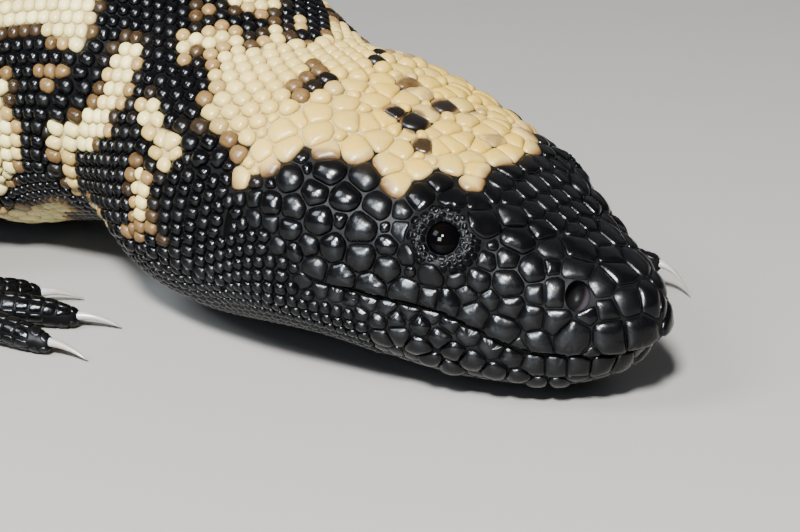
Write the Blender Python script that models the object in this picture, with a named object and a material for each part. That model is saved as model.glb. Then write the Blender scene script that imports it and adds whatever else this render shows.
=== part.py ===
"""A gila monster, life size, standing still with its head low.

Units are metres, +Z is up, and the body lies along +X with the head at the +X end. The origin is on
the floor under the middle of the belly, which rests there. Every flesh form is a loft of rings set
along a line, and each part of the body is a solid of its own, parted by cuts of 0.3 mm. Bead scales
are raised in the lofts' own surfaces, and the larger plates of the head are fused to it.
"""

import math
from collections import namedtuple

import bmesh
import bpy
import numpy as np
from mathutils import Matrix, Vector

MM = 0.001
GAP = 0.3 * MM

# Head pose: the tip of the snout at the level of the mouth line, and the way the head points
SNOUT = Vector((184.0, -24.8, 8.9)) * MM
HEAD_YAW = math.radians(-9.0)
HEAD_PITCH = math.radians(-8.0)
HEAD_LENGTH = 55.0 * MM

# Points of the body's middle line behind the head, at the level where each section is widest
NECK_MIDDLE = Vector((107.0, -6.0, 21.5)) * MM
SHOULDERS = Vector((86.0, 0.0, 25.5)) * MM
CHEST = Vector((55.0, 0.0, 24.5)) * MM
BELLY = Vector((0.0, 0.0, 22.5)) * MM
HIPS = Vector((-85.0, 0.0, 21.0)) * MM
VENT = Vector((-110.0, -1.0, 17.5)) * MM
TAIL_MIDDLE = Vector((-153.0, 6.0, 15.5)) * MM
TAIL_REAR = Vector((-196.0, 25.0, 12.8)) * MM
TAIL_END = Vector((-232.0, 53.0, 8.0)) * MM

# Sections along the body: distance behind the snout, half width, rise above the middle line, drop
# below it, and how square the upper and the lower half are (2 is an ellipse)
SECTIONS = np.array([
    (0.0, 0.9, 2.8, 0.6, 2.0, 2.0),
    (1.2, 4.2, 5.9, 1.6, 2.1, 2.0),
    (4.0, 7.2, 7.9, 5.8, 2.3, 2.2),
    (8.0, 9.8, 9.3, 8.4, 2.4, 2.5),
    (13.0, 12.4, 10.8, 9.7, 2.5, 2.6),
    (17.0, 14.2, 12.4, 10.4, 2.6, 2.6),
    (20.5, 15.9, 14.9, 11.0, 2.7, 2.6),
    (25.0, 17.4, 16.3, 11.2, 2.8, 2.6),
    (31.0, 19.8, 17.4, 10.4, 2.6, 2.5),
    (39.0, 22.4, 19.2, 10.8, 2.5, 2.2),
    (46.0, 23.4, 20.5, 12.8, 2.5, 2.2),
    (53.0, 22.4, 20.2, 15.0, 2.3, 2.1),
    (60.0, 22.4, 19.4, 17.1, 2.1, 2.1),
    (65.0, 23.0, 20.8, 17.8, 2.1, 2.1),
    (69.0, 22.6, 21.8, 17.6, 2.1, 2.0),
    (72.0, 21.0, 22.6, 14.6, 2.1, 1.9),
    (77.0, 22.0, 23.8, 14.0, 2.1, 1.9),
    (86.0, 24.8, 24.6, 17.4, 2.2, 2.2),
    (100.0, 27.0, 24.4, 23.2, 2.2, 2.6),
    (125.0, 29.4, 23.2, 23.2, 2.2, 2.5),
    (155.0, 31.8, 22.6, 23.4, 2.2, 2.5),
    (190.0, 33.6, 22.8, 23.6, 2.2, 2.6),
    (235.0, 32.6, 22.2, 22.6, 2.2, 2.5),
    (268.0, 26.6, 20.6, 20.6, 2.1, 2.3),
    (295.0, 19.6, 17.2, 17.0, 2.0, 2.1),
    (318.0, 18.4, 15.8, 15.6, 2.0, 2.1),
    (350.0, 17.0, 14.6, 15.2, 2.0, 2.1),
    (385.0, 14.2, 12.2, 13.0, 2.0, 2.1),
    (412.0, 10.4, 9.0, 10.0, 2.0, 2.1),
    (428.0, 6.6, 5.8, 6.6, 2.0, 2.0),
    (435.0, 2.6, 2.4, 2.6, 2.0, 2.0),
]) * np.array([MM, MM, MM, MM, 1.0, 1.0])

# Where the body is parted, as distances behind the snout
NECK_START = 58.0 * MM
TORSO_START = 86.0 * MM
TAIL_START = 296.0 * MM
TAIL_HALF = 368.0 * MM
TAIL_LENGTH_END = 435.0 * MM
TAIL_TIP = 1.5 * MM

# How far each way the middle line's direction and the sections are averaged, and the steps that a
# surface direction is taken over
LINE_REACH = 4 * MM
SECTION_REACH = 5 * MM
SLOPE_STEP = 0.4 * MM
SLOPE_TURN = 0.02

# Sides of the lofts, three to a bead, how high the beads stand, and the share of that which their
# rims lie under the body's outline. Edges bent more than the sharp angle are shaded sharp
TORSO_SIDES = 33
NECK_SIDES = 30
TAIL_SIDES = 21
TAIL_TIP_SIDES = 15
LIMB_SIDES = 12
TOE_SIDES = 6
CLAW_SIDES = 5
BODY_BEAD = 1.5 * MM
LIMB_BEAD = 1.0 * MM
BEAD_SINK = 0.3
BELLY_FADE = (-0.75, -0.25)
SHARP_ANGLE = math.radians(16)

# Spacing of a loft's rings as a share of its side, the least spacing, the angles of the rings in a
# limb's round ends, and the rings at each of its ends that have no beads
BODY_PITCH = 0.9
LEAST_PITCH = 2.0 * MM
LIMB_PITCH = 0.87
END_ANGLES = (30, 62)
PLAIN_ROWS = 3

# What a boolean leaves: points this near are merged, and shorter edges dissolved
MERGE = 0.004 * MM
NEEDLE = 0.002 * MM

# Sides of the head's loft, where its rings of beads start, and how far those stand up
HEAD_SIDES = 33
SNOUT_ROWS = (0.3 * MM, 0.9 * MM, 2.0 * MM)
HEAD_LATTICE = 3.6 * MM
HEAD_BEAD = 1.1 * MM
JAW_BEAD = 0.7 * MM
JAW_FADE = (-0.9, -0.5)
SNOUT_FADE = (3 * MM, 14 * MM)

# Plates of the head: how deep their roots reach, the half size of root and rim and the rim's lift as
# shares, and then each kind's places, length, width and rise
PLATE_ROOT = 1.0 * MM
PLATE_ROOT_SHARE = 0.42
PLATE_RIM_SHARE = 0.5
PLATE_RIM_LIFT = 0.45
PLATE_SIDES = 6
LIP_PLATE_SIDES = 4
LIP_PLATES = (2.8, 6.6, 10.7, 15.0, 19.5, 24.2, 29.0, 33.8)
LIP_PLATE_SIZE = (5.6 * MM, 3.7 * MM, 0.75 * MM)
LIP_PLATE_LIFT = 1.75 * MM
BROW_PLATES = ((16.6, 11.0), (20.2, 13.2), (24.2, 14.4), (28.4, 14.8))
BROW_PLATE_SIZE = (4.6 * MM, 3.8 * MM, 1.3 * MM)
NASAL_PLATES = 5
NASAL_RING = 2.6 * MM
NASAL_FLATNESS = 0.8
NASAL_PLATE_SIZE = (2.7 * MM, 2.3 * MM, 0.7 * MM)
FRONT_PLATE_PLACE = 0.6 * MM
FRONT_PLATE_SIZE = (2.6 * MM, 4.0 * MM, 0.45 * MM)
SNOUT_TIP = 1.0 * MM

# The mouth line: distance behind the snout and height above the head's own middle line
MOUTH_LINE = [
    (-6.0, -0.3), (0.0, -0.3), (2.6, -0.9), (5.0, -1.5), (8.0, -2.0), (11.0, -2.1), (14.0, -1.4),
    (18.5, 0.1), (22.0, 1.0), (29.0, 1.05), (37.5, 1.2),
]
THROAT_CUT = (47.0, -20.0)
MOUTH_REACH = 40 * MM

# Eyes, nostrils and ear slits, by their distance behind the snout and height above the mouth
EYE_PLACE = (22.5 * MM, 9.6 * MM)
EYE_RADIUS = 3.2 * MM
EYE_DEPTH = 2.5 * MM
EYE_FACETS = (12, 6)
SOCKET_FACETS = (14, 8)
PIT_FACETS = (8, 5)
LID_RING = 3.0 * MM
LID_THICKNESS = 1.0 * MM
LID_SIDES = 14
LID_FACETS = 5
NOSTRIL_PLACE = (7.4 * MM, 5.8 * MM)
NOSTRIL_SIZE = Vector((1.25, 1.05, 1.6)) * MM
EAR_PLACE = (48.5 * MM, 4.5 * MM)
EAR_SIZE = Vector((0.9, 3.4, 1.8)) * MM

# Legs: joints, thickness at root, middle and end of each length, and the foot's place and heading
Leg = namedtuple("Leg", "root bend wrist foot heading side digits")
ARM_THICKNESS = ((20.0, 17.0, 14.0), (14.0, 13.4, 10.4))
HIND_THICKNESS = ((24.0, 20.5, 16.4), (16.4, 15.0, 11.4))

# Digits of a foot, inner to outer: angle of the root and of the tip from the foot's heading, with
# plus to the inside, how far the tip lies from the foot's middle, and the tip's height
RIGHT_FORE_DIGITS = (
    (52, 38, 20.5, 1.55),
    (24, 15, 25.6, 1.55),
    (-2, -6, 25.5, 1.55),
    (-34, -33, 24, 1.55),
    (-72, -72, 17.5, 1.55),
)
LEFT_FORE_DIGITS = (
    (55, 20, 17, 1.55),
    (25, 6, 21.5, 1.55),
    (0, -10, 22.5, 1.55),
    (-34, -33, 22.8, 4.6),
    (-78, -80, 16, 1.55),
)
HIND_DIGITS = (
    (55, 42, 19.5, 1.55),
    (26, 18, 25, 1.55),
    (0, -4, 28, 1.55),
    (-26, -27, 28, 1.55),
    (-68, -66, 20.5, 1.55),
)
LEGS = {
    "front_right": Leg(
        (84, -18, 22), (62, -46, 23), (75, -48, 8), (83, -46, 2.6), 10, -1, RIGHT_FORE_DIGITS,
    ),
    "front_left": Leg(
        (90, 17, 23), (115, 28, 15), (138, 11, 8), (146.6, 6.6, 2.6), -20, 1, LEFT_FORE_DIGITS,
    ),
    "hind_right": Leg(
        (-78, -15, 19), (-60, -45, 20), (-82, -57, 8), (-77, -64, 2.6), -32, -1, HIND_DIGITS,
    ),
    "hind_left": Leg(
        (-78, 15, 19), (-48, 42, 19), (-60, 60, 8), (-54, 66, 2.6), 28, 1, HIND_DIGITS,
    ),
}
SOLE_SIZE = Vector((9.6, 8.6, 3.8)) * MM
SOLE_FACETS = (10, 5)
TOE_THICKNESS = (5.0 * MM, 4.7 * MM, 3.5 * MM)
TOE_ROOT = 5.0 * MM
KNUCKLE = 0.55
TOE_ARCH = 0.9 * MM
CLAW_LENGTH = 6.8 * MM
CLAW_THICKNESS = 1.6 * MM
CLAW_TIP_HEIGHT = 0.35 * MM

# A claw's bend: its share of the length and its rise, the shares where its rings stand, and their
# thicknesses as shares
CLAW_BEND = 0.45
CLAW_RISE = 0.3 * MM
CLAW_SHARES = (0.0, 0.35, 0.7, 1.0)
CLAW_WIDTHS = (1.0, 0.78, 0.46)

# Lengths of the body that the legs are cut clear of, with the sides of their lofts
BODY_CUTS = (
    (NECK_START, TORSO_START, NECK_SIDES),
    (TORSO_START, TAIL_START, TORSO_SIDES),
    (TAIL_START, TAIL_HALF, TAIL_SIDES),
)

# Base colour and roughness of each material
FINISHES = {
    "black_skin": ((0.012, 0.012, 0.014, 1.0), 0.30),
    "cream_skin": ((0.78, 0.64, 0.42, 1.0), 0.35),
    "claw_horn": ((0.55, 0.52, 0.48, 1.0), 0.30),
    "eye": ((0.006, 0.006, 0.008, 1.0), 0.05),
}


def head_axes():
    """The head's forward, left and up directions."""
    forward = Vector((
        math.cos(HEAD_PITCH) * math.cos(HEAD_YAW),
        math.cos(HEAD_PITCH) * math.sin(HEAD_YAW),
        math.sin(HEAD_PITCH),
    ))
    left = Vector((0, 0, 1)).cross(forward).normalized()
    return forward, left, forward.cross(left)


FORWARD, LEFT, UP = head_axes()


def in_head(behind, left, up):
    """A point given by its distance behind the snout, to the left and above the mouth line."""
    return SNOUT - FORWARD * behind + LEFT * left + UP * up


def spine_knots():
    """The middle line's points and how far each lies behind the snout."""
    points = [in_head(0, 0, 0), in_head(HEAD_LENGTH / 2, 0, 0), in_head(HEAD_LENGTH, 0, 0)]
    points += [NECK_MIDDLE, SHOULDERS, CHEST, BELLY, HIPS, VENT, TAIL_MIDDLE, TAIL_REAR, TAIL_END]
    points.append(TAIL_END * 2 - TAIL_REAR)
    distances = [0.0]
    for a, b in zip(points, points[1:]):
        distances.append(distances[-1] + (b - a).length)
    return points, distances


KNOTS, KNOT_DISTANCES = spine_knots()


def spine(distance):
    """The point of the middle line at a distance behind the snout: straight in the head, then smooth."""
    if distance <= HEAD_LENGTH:
        return in_head(distance, 0, 0)
    last = len(KNOTS) - 2
    i = min(max(k for k, d in enumerate(KNOT_DISTANCES) if d <= distance), last - 1)
    d0, d1 = KNOT_DISTANCES[i], KNOT_DISTANCES[i + 1]
    p0, p1 = KNOTS[i], KNOTS[i + 1]
    slope0 = (p1 - KNOTS[i - 1]) / (d1 - KNOT_DISTANCES[i - 1])
    slope1 = (KNOTS[i + 2] - p0) / (KNOT_DISTANCES[i + 2] - d0)
    t = (distance - d0) / (d1 - d0)
    h = d1 - d0
    return (
        p0 * (2 * t**3 - 3 * t**2 + 1)
        + slope0 * h * (t**3 - 2 * t**2 + t)
        + p1 * (-2 * t**3 + 3 * t**2)
        + slope1 * h * (t**3 - t**2)
    )


def spine_axes(distance):
    """The directions ahead, to the left and up at a point of the middle line."""
    ahead = (spine(max(distance - LINE_REACH, 0)) - spine(distance + LINE_REACH)).normalized()
    left = Vector((0, 0, 1)).cross(ahead).normalized()
    return ahead, left, ahead.cross(left)


def section(distance):
    """Half width, rise, drop and both squarenesses at a distance behind the snout."""
    return [float(np.interp(distance, SECTIONS[:, 0], SECTIONS[:, k])) for k in range(1, 6)]


def smooth_section(distance):
    """The section, averaged over a short stretch so that the loft has no corners."""
    reach = min(SECTION_REACH, distance / 2, max(TAIL_LENGTH_END - distance, 0))
    near = [section(distance + reach * k) for k in (-1, -0.5, 0, 0.5, 1)]
    return [sum(row[k] for row in near) / len(near) for k in range(5)]


def power(value, exponent):
    """A power that keeps the sign."""
    return math.copysign(abs(value) ** exponent, value)


def skin_point(distance, angle, spread=0.0):
    """A point of the body's surface. Angle 0 is left and a quarter turn is up."""
    half, rise, drop, square_up, square_low = smooth_section(distance)
    _, left, up = spine_axes(distance)
    c, s = math.cos(angle), math.sin(angle)
    square = square_up if s > 0 else square_low
    height = rise if s > 0 else drop
    out = power(c, 2 / square) * (half + spread)
    lift = power(s, 2 / square) * (height + spread)
    point = spine(distance) + left * out + up * lift
    point.z = max(point.z, -spread)
    return point


def skin_frame(distance, angle):
    """A surface point with its outward normal and the direction along the body towards the head."""
    ahead = skin_point(distance - SLOPE_STEP, angle)
    along = (ahead - skin_point(distance + SLOPE_STEP, angle)).normalized()
    around = skin_point(distance, angle + SLOPE_TURN) - skin_point(distance, angle - SLOPE_TURN)
    normal = around.cross(along).normalized()
    point = skin_point(distance, angle)
    if normal.dot(point - spine(distance)) < 0:
        normal = -normal
    return point, normal, along


def angle_at(distance, up, side):
    """The angle of the surface point at a height above the middle line, on side 1 (left) or -1."""
    _, rise, drop, square_up, square_low = smooth_section(distance)
    height, square = (rise, square_up) if up > 0 else (drop, square_low)
    s = power(min(abs(up) / height, 1.0), square / 2)
    angle = math.copysign(math.asin(s), up)
    return angle if side > 0 else math.pi - angle


def even_angles(sides, turn=0.0):
    """Angles of a ring's points, turned by part of a step."""
    return [2 * math.pi * (k + turn) / sides for k in range(sides)]


def smooth_step(value, low, high):
    """0 below low, 1 above high and a smooth change between them."""
    t = min(max((value - low) / (high - low), 0.0), 1.0)
    return t * t * (3 - 2 * t)


def clear_scene():
    """Removes what a new file holds."""
    for item in list(bpy.data.objects):
        bpy.data.objects.remove(item)


def material(slot):
    """The finish of a slot, made once."""
    made = bpy.data.materials.get(slot)
    if made is None:
        colour, roughness = FINISHES[slot]
        made = bpy.data.materials.new(slot)
        made.use_nodes = True
        shader = made.node_tree.nodes["Principled BSDF"]
        shader.inputs["Base Color"].default_value = colour
        shader.inputs["Roughness"].default_value = roughness
        shader.inputs["Metallic"].default_value = 0.0
    return made


def add_object(name, mesh, slot):
    """An object with its material for a finished bmesh, which is freed."""
    bmesh.ops.triangulate(mesh, faces=mesh.faces)
    bmesh.ops.recalc_face_normals(mesh, faces=mesh.faces)
    data = bpy.data.meshes.new(name)
    mesh.to_mesh(data)
    mesh.free()
    made = bpy.data.objects.new(name, data)
    bpy.context.scene.collection.objects.link(made)
    data.materials.append(material(slot))
    data.shade_smooth()
    data.set_sharp_from_angle(angle=SHARP_ANGLE)
    return made


def closed_loft(rings, first_tip=None, last_tip=None):
    """A closed bmesh through rings of equal size, each turned half a step from the one before."""
    mesh = bmesh.new()
    rows = [[mesh.verts.new(point) for point in row] for row in rings]
    sides = len(rows[0])
    for row, after in zip(rows, rows[1:]):
        for k in range(sides):
            n = (k + 1) % sides
            mesh.faces.new((row[k], row[n], after[k]))
            mesh.faces.new((after[k], row[n], after[n]))
    for row, tip in ((rows[0][::-1], first_tip), (rows[-1], last_tip)):
        if tip is None:
            mesh.faces.new(row)
        else:
            end = mesh.verts.new(tip)
            for k in range(sides):
                mesh.faces.new((row[k], row[(k + 1) % sides], end))
    return mesh


def row_distances(start, end, sides):
    """Distances of a loft's rings, spaced so that their triangles are about even."""
    rows = [start]
    while rows[-1] < end:
        half, rise, drop, _, _ = smooth_section(rows[-1])
        around = math.pi * (half + (rise + drop) / 2)
        rows.append(rows[-1] + max(around / sides * BODY_PITCH, LEAST_PITCH))
    shrink = (end - start) / (rows[-1] - start)
    return [start + (row - start) * shrink for row in rows]


def body_part(name, start, end, sides, slot="black_skin", spread=0.0, tip=None):
    """A length of the body whose bead scales are raised in its surface, fading out to the belly.

    With a spread it is the same form grown all over, to cut what meets it.
    """
    distances = row_distances(start + GAP / 2, end - GAP / 2, sides)
    rings = []
    for j, distance in enumerate(distances):
        inside = 0 < j < len(distances) - 1
        if not inside:
            distance += 2 * spread if j else -2 * spread
        points = []
        for k, angle in enumerate(even_angles(sides, j / 2)):
            raised = (k - j) % 3 == 0
            bead = BODY_BEAD * smooth_step(math.sin(angle), *BELLY_FADE) if inside else 0.0
            points.append(skin_point(distance, angle, spread + bead * (raised - BEAD_SINK)))
        rings.append(points)
    return add_object(name, closed_loft(rings, last_tip=tip), slot)


def limb_part(name, start, end, thickness, spread=0.0, slot="black_skin"):
    """A length of a leg with round ends, its bead scales raised in its surface."""
    start, end = Vector(start) * MM, Vector(end) * MM
    ahead = (end - start).normalized()
    side = ahead.cross(Vector((0, 0, 1))).normalized()
    up = side.cross(ahead)
    length = (end - start).length
    first, middle, last = [t / 2 * MM + spread for t in thickness]
    side_length = (middle - spread) * 2 * math.pi / LIMB_SIDES
    count = max(round(length / (side_length * LIMB_PITCH)), 3)
    bows = [math.radians(a) for a in END_ANGLES]
    stations = [(-first * math.cos(a), first * math.sin(a)) for a in bows]
    for j in range(count + 1):
        t = j / count
        radius = first * (1 - t) * (1 - 2 * t) + middle * 4 * t * (1 - t) + last * t * (2 * t - 1)
        stations.append((t * length, radius))
    stations += [(length + last * math.cos(a), last * math.sin(a)) for a in bows[::-1]]
    rings = []
    for j, (travel, radius) in enumerate(stations):
        points = []
        for k, angle in enumerate(even_angles(LIMB_SIDES, j / 2)):
            raised = (k - j) % 3 == 0
            bead = LIMB_BEAD if PLAIN_ROWS <= j < len(stations) - PLAIN_ROWS else 0.0
            reach = radius + bead * (raised - BEAD_SINK)
            points.append(start + ahead * travel + (side * math.cos(angle) + up * math.sin(angle)) * reach)
        rings.append(points)
    mesh = closed_loft(rings, start - ahead * first, end + ahead * last)
    return add_object(name, mesh, slot)


def tube(name, points, thickness, sides, slot, tip=False):
    """A tapered tube through points, flat at its ends or closed to a point."""
    rings = []
    for j, point in enumerate(points[:-1] if tip else points):
        before, after = points[max(j - 1, 0)], points[min(j + 1, len(points) - 1)]
        ahead = (after - before).normalized()
        side = ahead.cross(Vector((0, 0, 1))).normalized()
        up = side.cross(ahead)
        radius = thickness[j] / 2
        rings.append([
            point + (side * math.cos(a) + up * math.sin(a)) * radius for a in even_angles(sides, j / 2)
        ])
    return add_object(name, closed_loft(rings, last_tip=points[-1] if tip else None), slot)


def ellipsoid(name, middle, axes, sizes, facets, slot="black_skin"):
    """A closed ellipsoid with its own axes, half sizes, and facets round and down."""
    mesh = bmesh.new()
    bmesh.ops.create_uvsphere(mesh, u_segments=facets[0], v_segments=facets[1], radius=1.0)
    turn = Matrix([axis * size for axis, size in zip(axes, sizes)]).transposed().to_4x4()
    bmesh.ops.transform(mesh, matrix=Matrix.Translation(middle) @ turn, verts=mesh.verts)
    return add_object(name, mesh, slot)


def apply_boolean(target, other, operation):
    """Cuts, fuses or crosses an object or a collection with the target, and removes it."""
    pieces = [other] if isinstance(other, bpy.types.Object) else list(other.objects)
    modifier = target.modifiers.new("cut", "BOOLEAN")
    modifier.operation = operation
    modifier.solver = "EXACT"
    if isinstance(other, bpy.types.Object):
        modifier.object = other
    else:
        modifier.operand_type = "COLLECTION"
        modifier.collection = other
    bpy.context.view_layer.update()
    graph = bpy.context.evaluated_depsgraph_get()
    result = bpy.data.meshes.new_from_object(target.evaluated_get(graph))
    target.modifiers.clear()
    target.data = result
    result.name = target.name
    for piece in pieces:
        bpy.data.objects.remove(piece)
    if not isinstance(other, bpy.types.Object):
        bpy.data.collections.remove(other)
    keep_largest(target)


def keep_largest(target):
    """Keeps only the largest closed surface of an object, cleaned of needle-thin faces."""
    mesh = bmesh.new()
    mesh.from_mesh(target.data)
    bmesh.ops.remove_doubles(mesh, verts=mesh.verts, dist=MERGE)
    bmesh.ops.dissolve_degenerate(mesh, edges=mesh.edges, dist=NEEDLE)
    bmesh.ops.triangulate(mesh, faces=mesh.faces)
    unseen = set(mesh.verts)
    islands = []
    while unseen:
        island = []
        edge = [unseen.pop()]
        while edge:
            vert = edge.pop()
            island.append(vert)
            for link in vert.link_edges:
                other = link.other_vert(vert)
                if other in unseen:
                    unseen.remove(other)
                    edge.append(other)
        islands.append(island)
    islands.sort(key=len)
    for island in islands[:-1]:
        bmesh.ops.delete(mesh, geom=island, context="VERTS")
    mesh.to_mesh(target.data)
    mesh.free()
    target.data.shade_smooth()
    target.data.set_sharp_from_angle(angle=SHARP_ANGLE)


def gather(name, pieces):
    """A collection of closed pieces, for one union."""
    made = bpy.data.collections.new(name)
    bpy.context.scene.collection.children.link(made)
    for piece in pieces:
        bpy.context.scene.collection.objects.unlink(piece)
        made.objects.link(piece)
    return made


def mouth_prism(name, shift):
    """A block under the mouth line, across the whole head, grown or shrunk by a shift."""
    profile = [(behind * MM, up * MM + shift) for behind, up in MOUTH_LINE[:-1]]
    corner = MOUTH_LINE[-1]
    profile.append((corner[0] * MM + shift, corner[1] * MM + shift))
    profile.append((THROAT_CUT[0] * MM + shift, THROAT_CUT[1] * MM))
    profile.append((MOUTH_LINE[0][0] * MM, THROAT_CUT[1] * MM))
    mesh = bmesh.new()
    ends = (-MOUTH_REACH, MOUTH_REACH)
    sides = [[mesh.verts.new(in_head(b, end, u)) for b, u in profile] for end in ends]
    mesh.faces.new(sides[0])
    mesh.faces.new(sides[1][::-1])
    for k in range(len(profile)):
        n = (k + 1) % len(profile)
        mesh.faces.new((sides[0][k], sides[0][n], sides[1][n], sides[1][k]))
    return add_object(name, mesh, "black_skin")


def surface_place(place, side):
    """Point, outward normal and forward direction of a feature on one side of the head."""
    behind, up = place
    return skin_frame(behind, angle_at(behind, up, side))


def local_axes(normal, along):
    """Forward, upward and outward axes at a surface point."""
    ahead = (along - normal * along.dot(normal)).normalized()
    return ahead, normal.cross(ahead), normal


def lid_ring(name, side):
    """The ring of the lids round one eye."""
    point, normal, along = surface_place(EYE_PLACE, side)
    ahead, across, out = local_axes(normal, along)
    mesh = bmesh.new()
    rows = []
    for a in even_angles(LID_SIDES):
        spoke = ahead * math.cos(a) + across * math.sin(a)
        row = []
        for b in even_angles(LID_FACETS):
            reach = LID_RING + LID_THICKNESS * math.cos(b)
            row.append(mesh.verts.new(point + spoke * reach + out * LID_THICKNESS * math.sin(b)))
        rows.append(row)
    for row, after in zip(rows, rows[1:] + rows[:1]):
        for k in range(LID_FACETS):
            n = (k + 1) % LID_FACETS
            mesh.faces.new((row[k], row[n], after[n], after[k]))
    return add_object(name, mesh, "black_skin")


def mouth_height(behind):
    """Height of the mouth line above the head's middle line at a distance behind the snout."""
    return float(np.interp(behind / MM, [p[0] for p in MOUTH_LINE], [p[1] for p in MOUTH_LINE])) * MM


def plate(place, size, sides=PLATE_SIDES):
    """A low domed plate, its root sunk in the skin."""
    point, normal, along = place
    ahead, across, out = local_axes(normal, along)
    length, width, rise = size
    mesh = bmesh.new()
    rows = []
    for reach, lift in ((PLATE_ROOT_SHARE, -PLATE_ROOT), (PLATE_RIM_SHARE, rise * PLATE_RIM_LIFT)):
        row = []
        for angle in even_angles(sides, 0.5):
            spot = ahead * math.cos(angle) * length * reach + across * math.sin(angle) * width * reach
            row.append(mesh.verts.new(point + spot + out * lift))
        rows.append(row)
    top = mesh.verts.new(point + out * rise)
    mesh.faces.new(rows[0][::-1])
    for k in range(sides):
        n = (k + 1) % sides
        mesh.faces.new((rows[0][k], rows[0][n], rows[1][n], rows[1][k]))
        mesh.faces.new((rows[1][k], rows[1][n], top))
    return add_object("plate", mesh, "black_skin")


def head_plates():
    """Plates along both lips, over the eyes, round the nostrils and at the front of the snout."""
    made = []
    for side in (-1, 1):
        for behind in LIP_PLATES:
            for lift in (LIP_PLATE_LIFT, -LIP_PLATE_LIFT):
                place = (behind * MM, mouth_height(behind * MM) + lift)
                made.append(plate(surface_place(place, side), LIP_PLATE_SIZE, LIP_PLATE_SIDES))
        for behind, up in BROW_PLATES:
            made.append(plate(surface_place((behind * MM, up * MM), side), BROW_PLATE_SIZE))
        for turn in even_angles(NASAL_PLATES):
            behind = NOSTRIL_PLACE[0] - NASAL_RING * math.cos(turn)
            up = NOSTRIL_PLACE[1] + NASAL_RING * math.sin(turn) * NASAL_FLATNESS
            made.append(plate(surface_place((behind, up), side), NASAL_PLATE_SIZE))
    made.append(plate(skin_frame(FRONT_PLATE_PLACE, math.pi / 2), FRONT_PLATE_SIZE))
    return made


def build_head():
    """The head with plates, lids, nostrils and ear slits, the jaw parted from it, and the eyes."""
    distances = list(SNOUT_ROWS) + row_distances(HEAD_LATTICE, NECK_START - GAP / 2, HEAD_SIDES)
    rings = []
    for j, distance in enumerate(distances):
        inside = len(SNOUT_ROWS) < j < len(distances) - 1
        points = []
        for k, angle in enumerate(even_angles(HEAD_SIDES, j / 2)):
            raised = (k - j) % 3 == 0
            height = math.sin(angle)
            bead = HEAD_BEAD if height > 0 else JAW_BEAD * smooth_step(height, *JAW_FADE)
            bead *= smooth_step(distance, *SNOUT_FADE) if inside else 0.0
            points.append(skin_point(distance, angle, bead * (raised - BEAD_SINK)))
        rings.append(points)
    head = add_object("head", closed_loft(rings, first_tip=in_head(0, 0, SNOUT_TIP)), "black_skin")
    apply_boolean(head, gather("plates", head_plates()), "UNION")
    for side, word in ((-1, "right"), (1, "left")):
        apply_boolean(head, lid_ring("lid", side), "UNION")
        point, normal, along = surface_place(EYE_PLACE, side)
        axes = local_axes(normal, along)
        middle = point - normal * EYE_DEPTH
        socket = EYE_RADIUS + GAP
        apply_boolean(head, ellipsoid("socket", middle, axes, (socket,) * 3, SOCKET_FACETS), "DIFFERENCE")
        ellipsoid(f"eye_{word}", middle, axes, (EYE_RADIUS,) * 3, EYE_FACETS, "eye")
        point, normal, along = surface_place(NOSTRIL_PLACE, side)
        pit = ellipsoid("nostril", point, local_axes(normal, along), NOSTRIL_SIZE, PIT_FACETS)
        apply_boolean(head, pit, "DIFFERENCE")
        point, normal, along = surface_place(EAR_PLACE, side)
        slit = ellipsoid("ear", point, local_axes(normal, along), EAR_SIZE, PIT_FACETS)
        apply_boolean(head, slit, "DIFFERENCE")
    jaw = bpy.data.objects.new("lower_jaw", head.data.copy())
    bpy.context.scene.collection.objects.link(jaw)
    apply_boolean(head, mouth_prism("mouth", GAP / 2), "DIFFERENCE")
    apply_boolean(jaw, mouth_prism("mouth", -GAP / 2), "INTERSECT")


def level_direction(degrees):
    """A direction along the floor."""
    turn = math.radians(degrees)
    return Vector((math.cos(turn), math.sin(turn), 0))


def build_claw(name, base, ahead):
    """A claw that bends down to the floor from its base, where the toe points ahead."""
    level = Vector((ahead.x, ahead.y, 0)).normalized()
    fall = base.z - CLAW_TIP_HEIGHT
    end = base + level * math.sqrt(CLAW_LENGTH**2 - fall**2)
    end.z = CLAW_TIP_HEIGHT
    bend = base + level * CLAW_LENGTH * CLAW_BEND + Vector((0, 0, CLAW_RISE))
    points = [base.lerp(bend, t).lerp(bend.lerp(end, t), t) for t in CLAW_SHARES]
    tube(name, points, [CLAW_THICKNESS * share for share in CLAW_WIDTHS], CLAW_SIDES, "claw_horn", tip=True)


def build_foot(name, leg):
    """A foot fused from its sole and five toes, flat where it rests, with its claws."""
    middle = Vector(leg.foot) * MM
    pieces = []
    for number, (root_angle, tip_angle, reach, height) in enumerate(leg.digits, 1):
        root = middle + level_direction(leg.heading - leg.side * root_angle) * TOE_ROOT
        tip = middle + level_direction(leg.heading - leg.side * tip_angle) * reach * MM
        tip.z = height * MM
        knuckle = root.lerp(tip, KNUCKLE)
        knuckle.z += TOE_ARCH
        pieces.append(tube("toe", [root, knuckle, tip], TOE_THICKNESS, TOE_SIDES, "black_skin"))
        ahead = (tip - knuckle).normalized()
        build_claw(f"{name.replace('foot', 'claw')}_{number}", tip + ahead * GAP, ahead)
    axes = (level_direction(leg.heading), level_direction(leg.heading + 90), Vector((0, 0, 1)))
    sole = ellipsoid(name, middle, axes, SOLE_SIZE, SOLE_FACETS)
    apply_boolean(sole, gather("toes", pieces), "UNION")
    floor = bmesh.new()
    bmesh.ops.create_cube(floor, size=1.0)
    bmesh.ops.transform(floor, matrix=Matrix.Translation((0, 0, -0.5)), verts=floor.verts)
    apply_boolean(sole, add_object("floor", floor, "black_skin"), "DIFFERENCE")
    return sole


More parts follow.
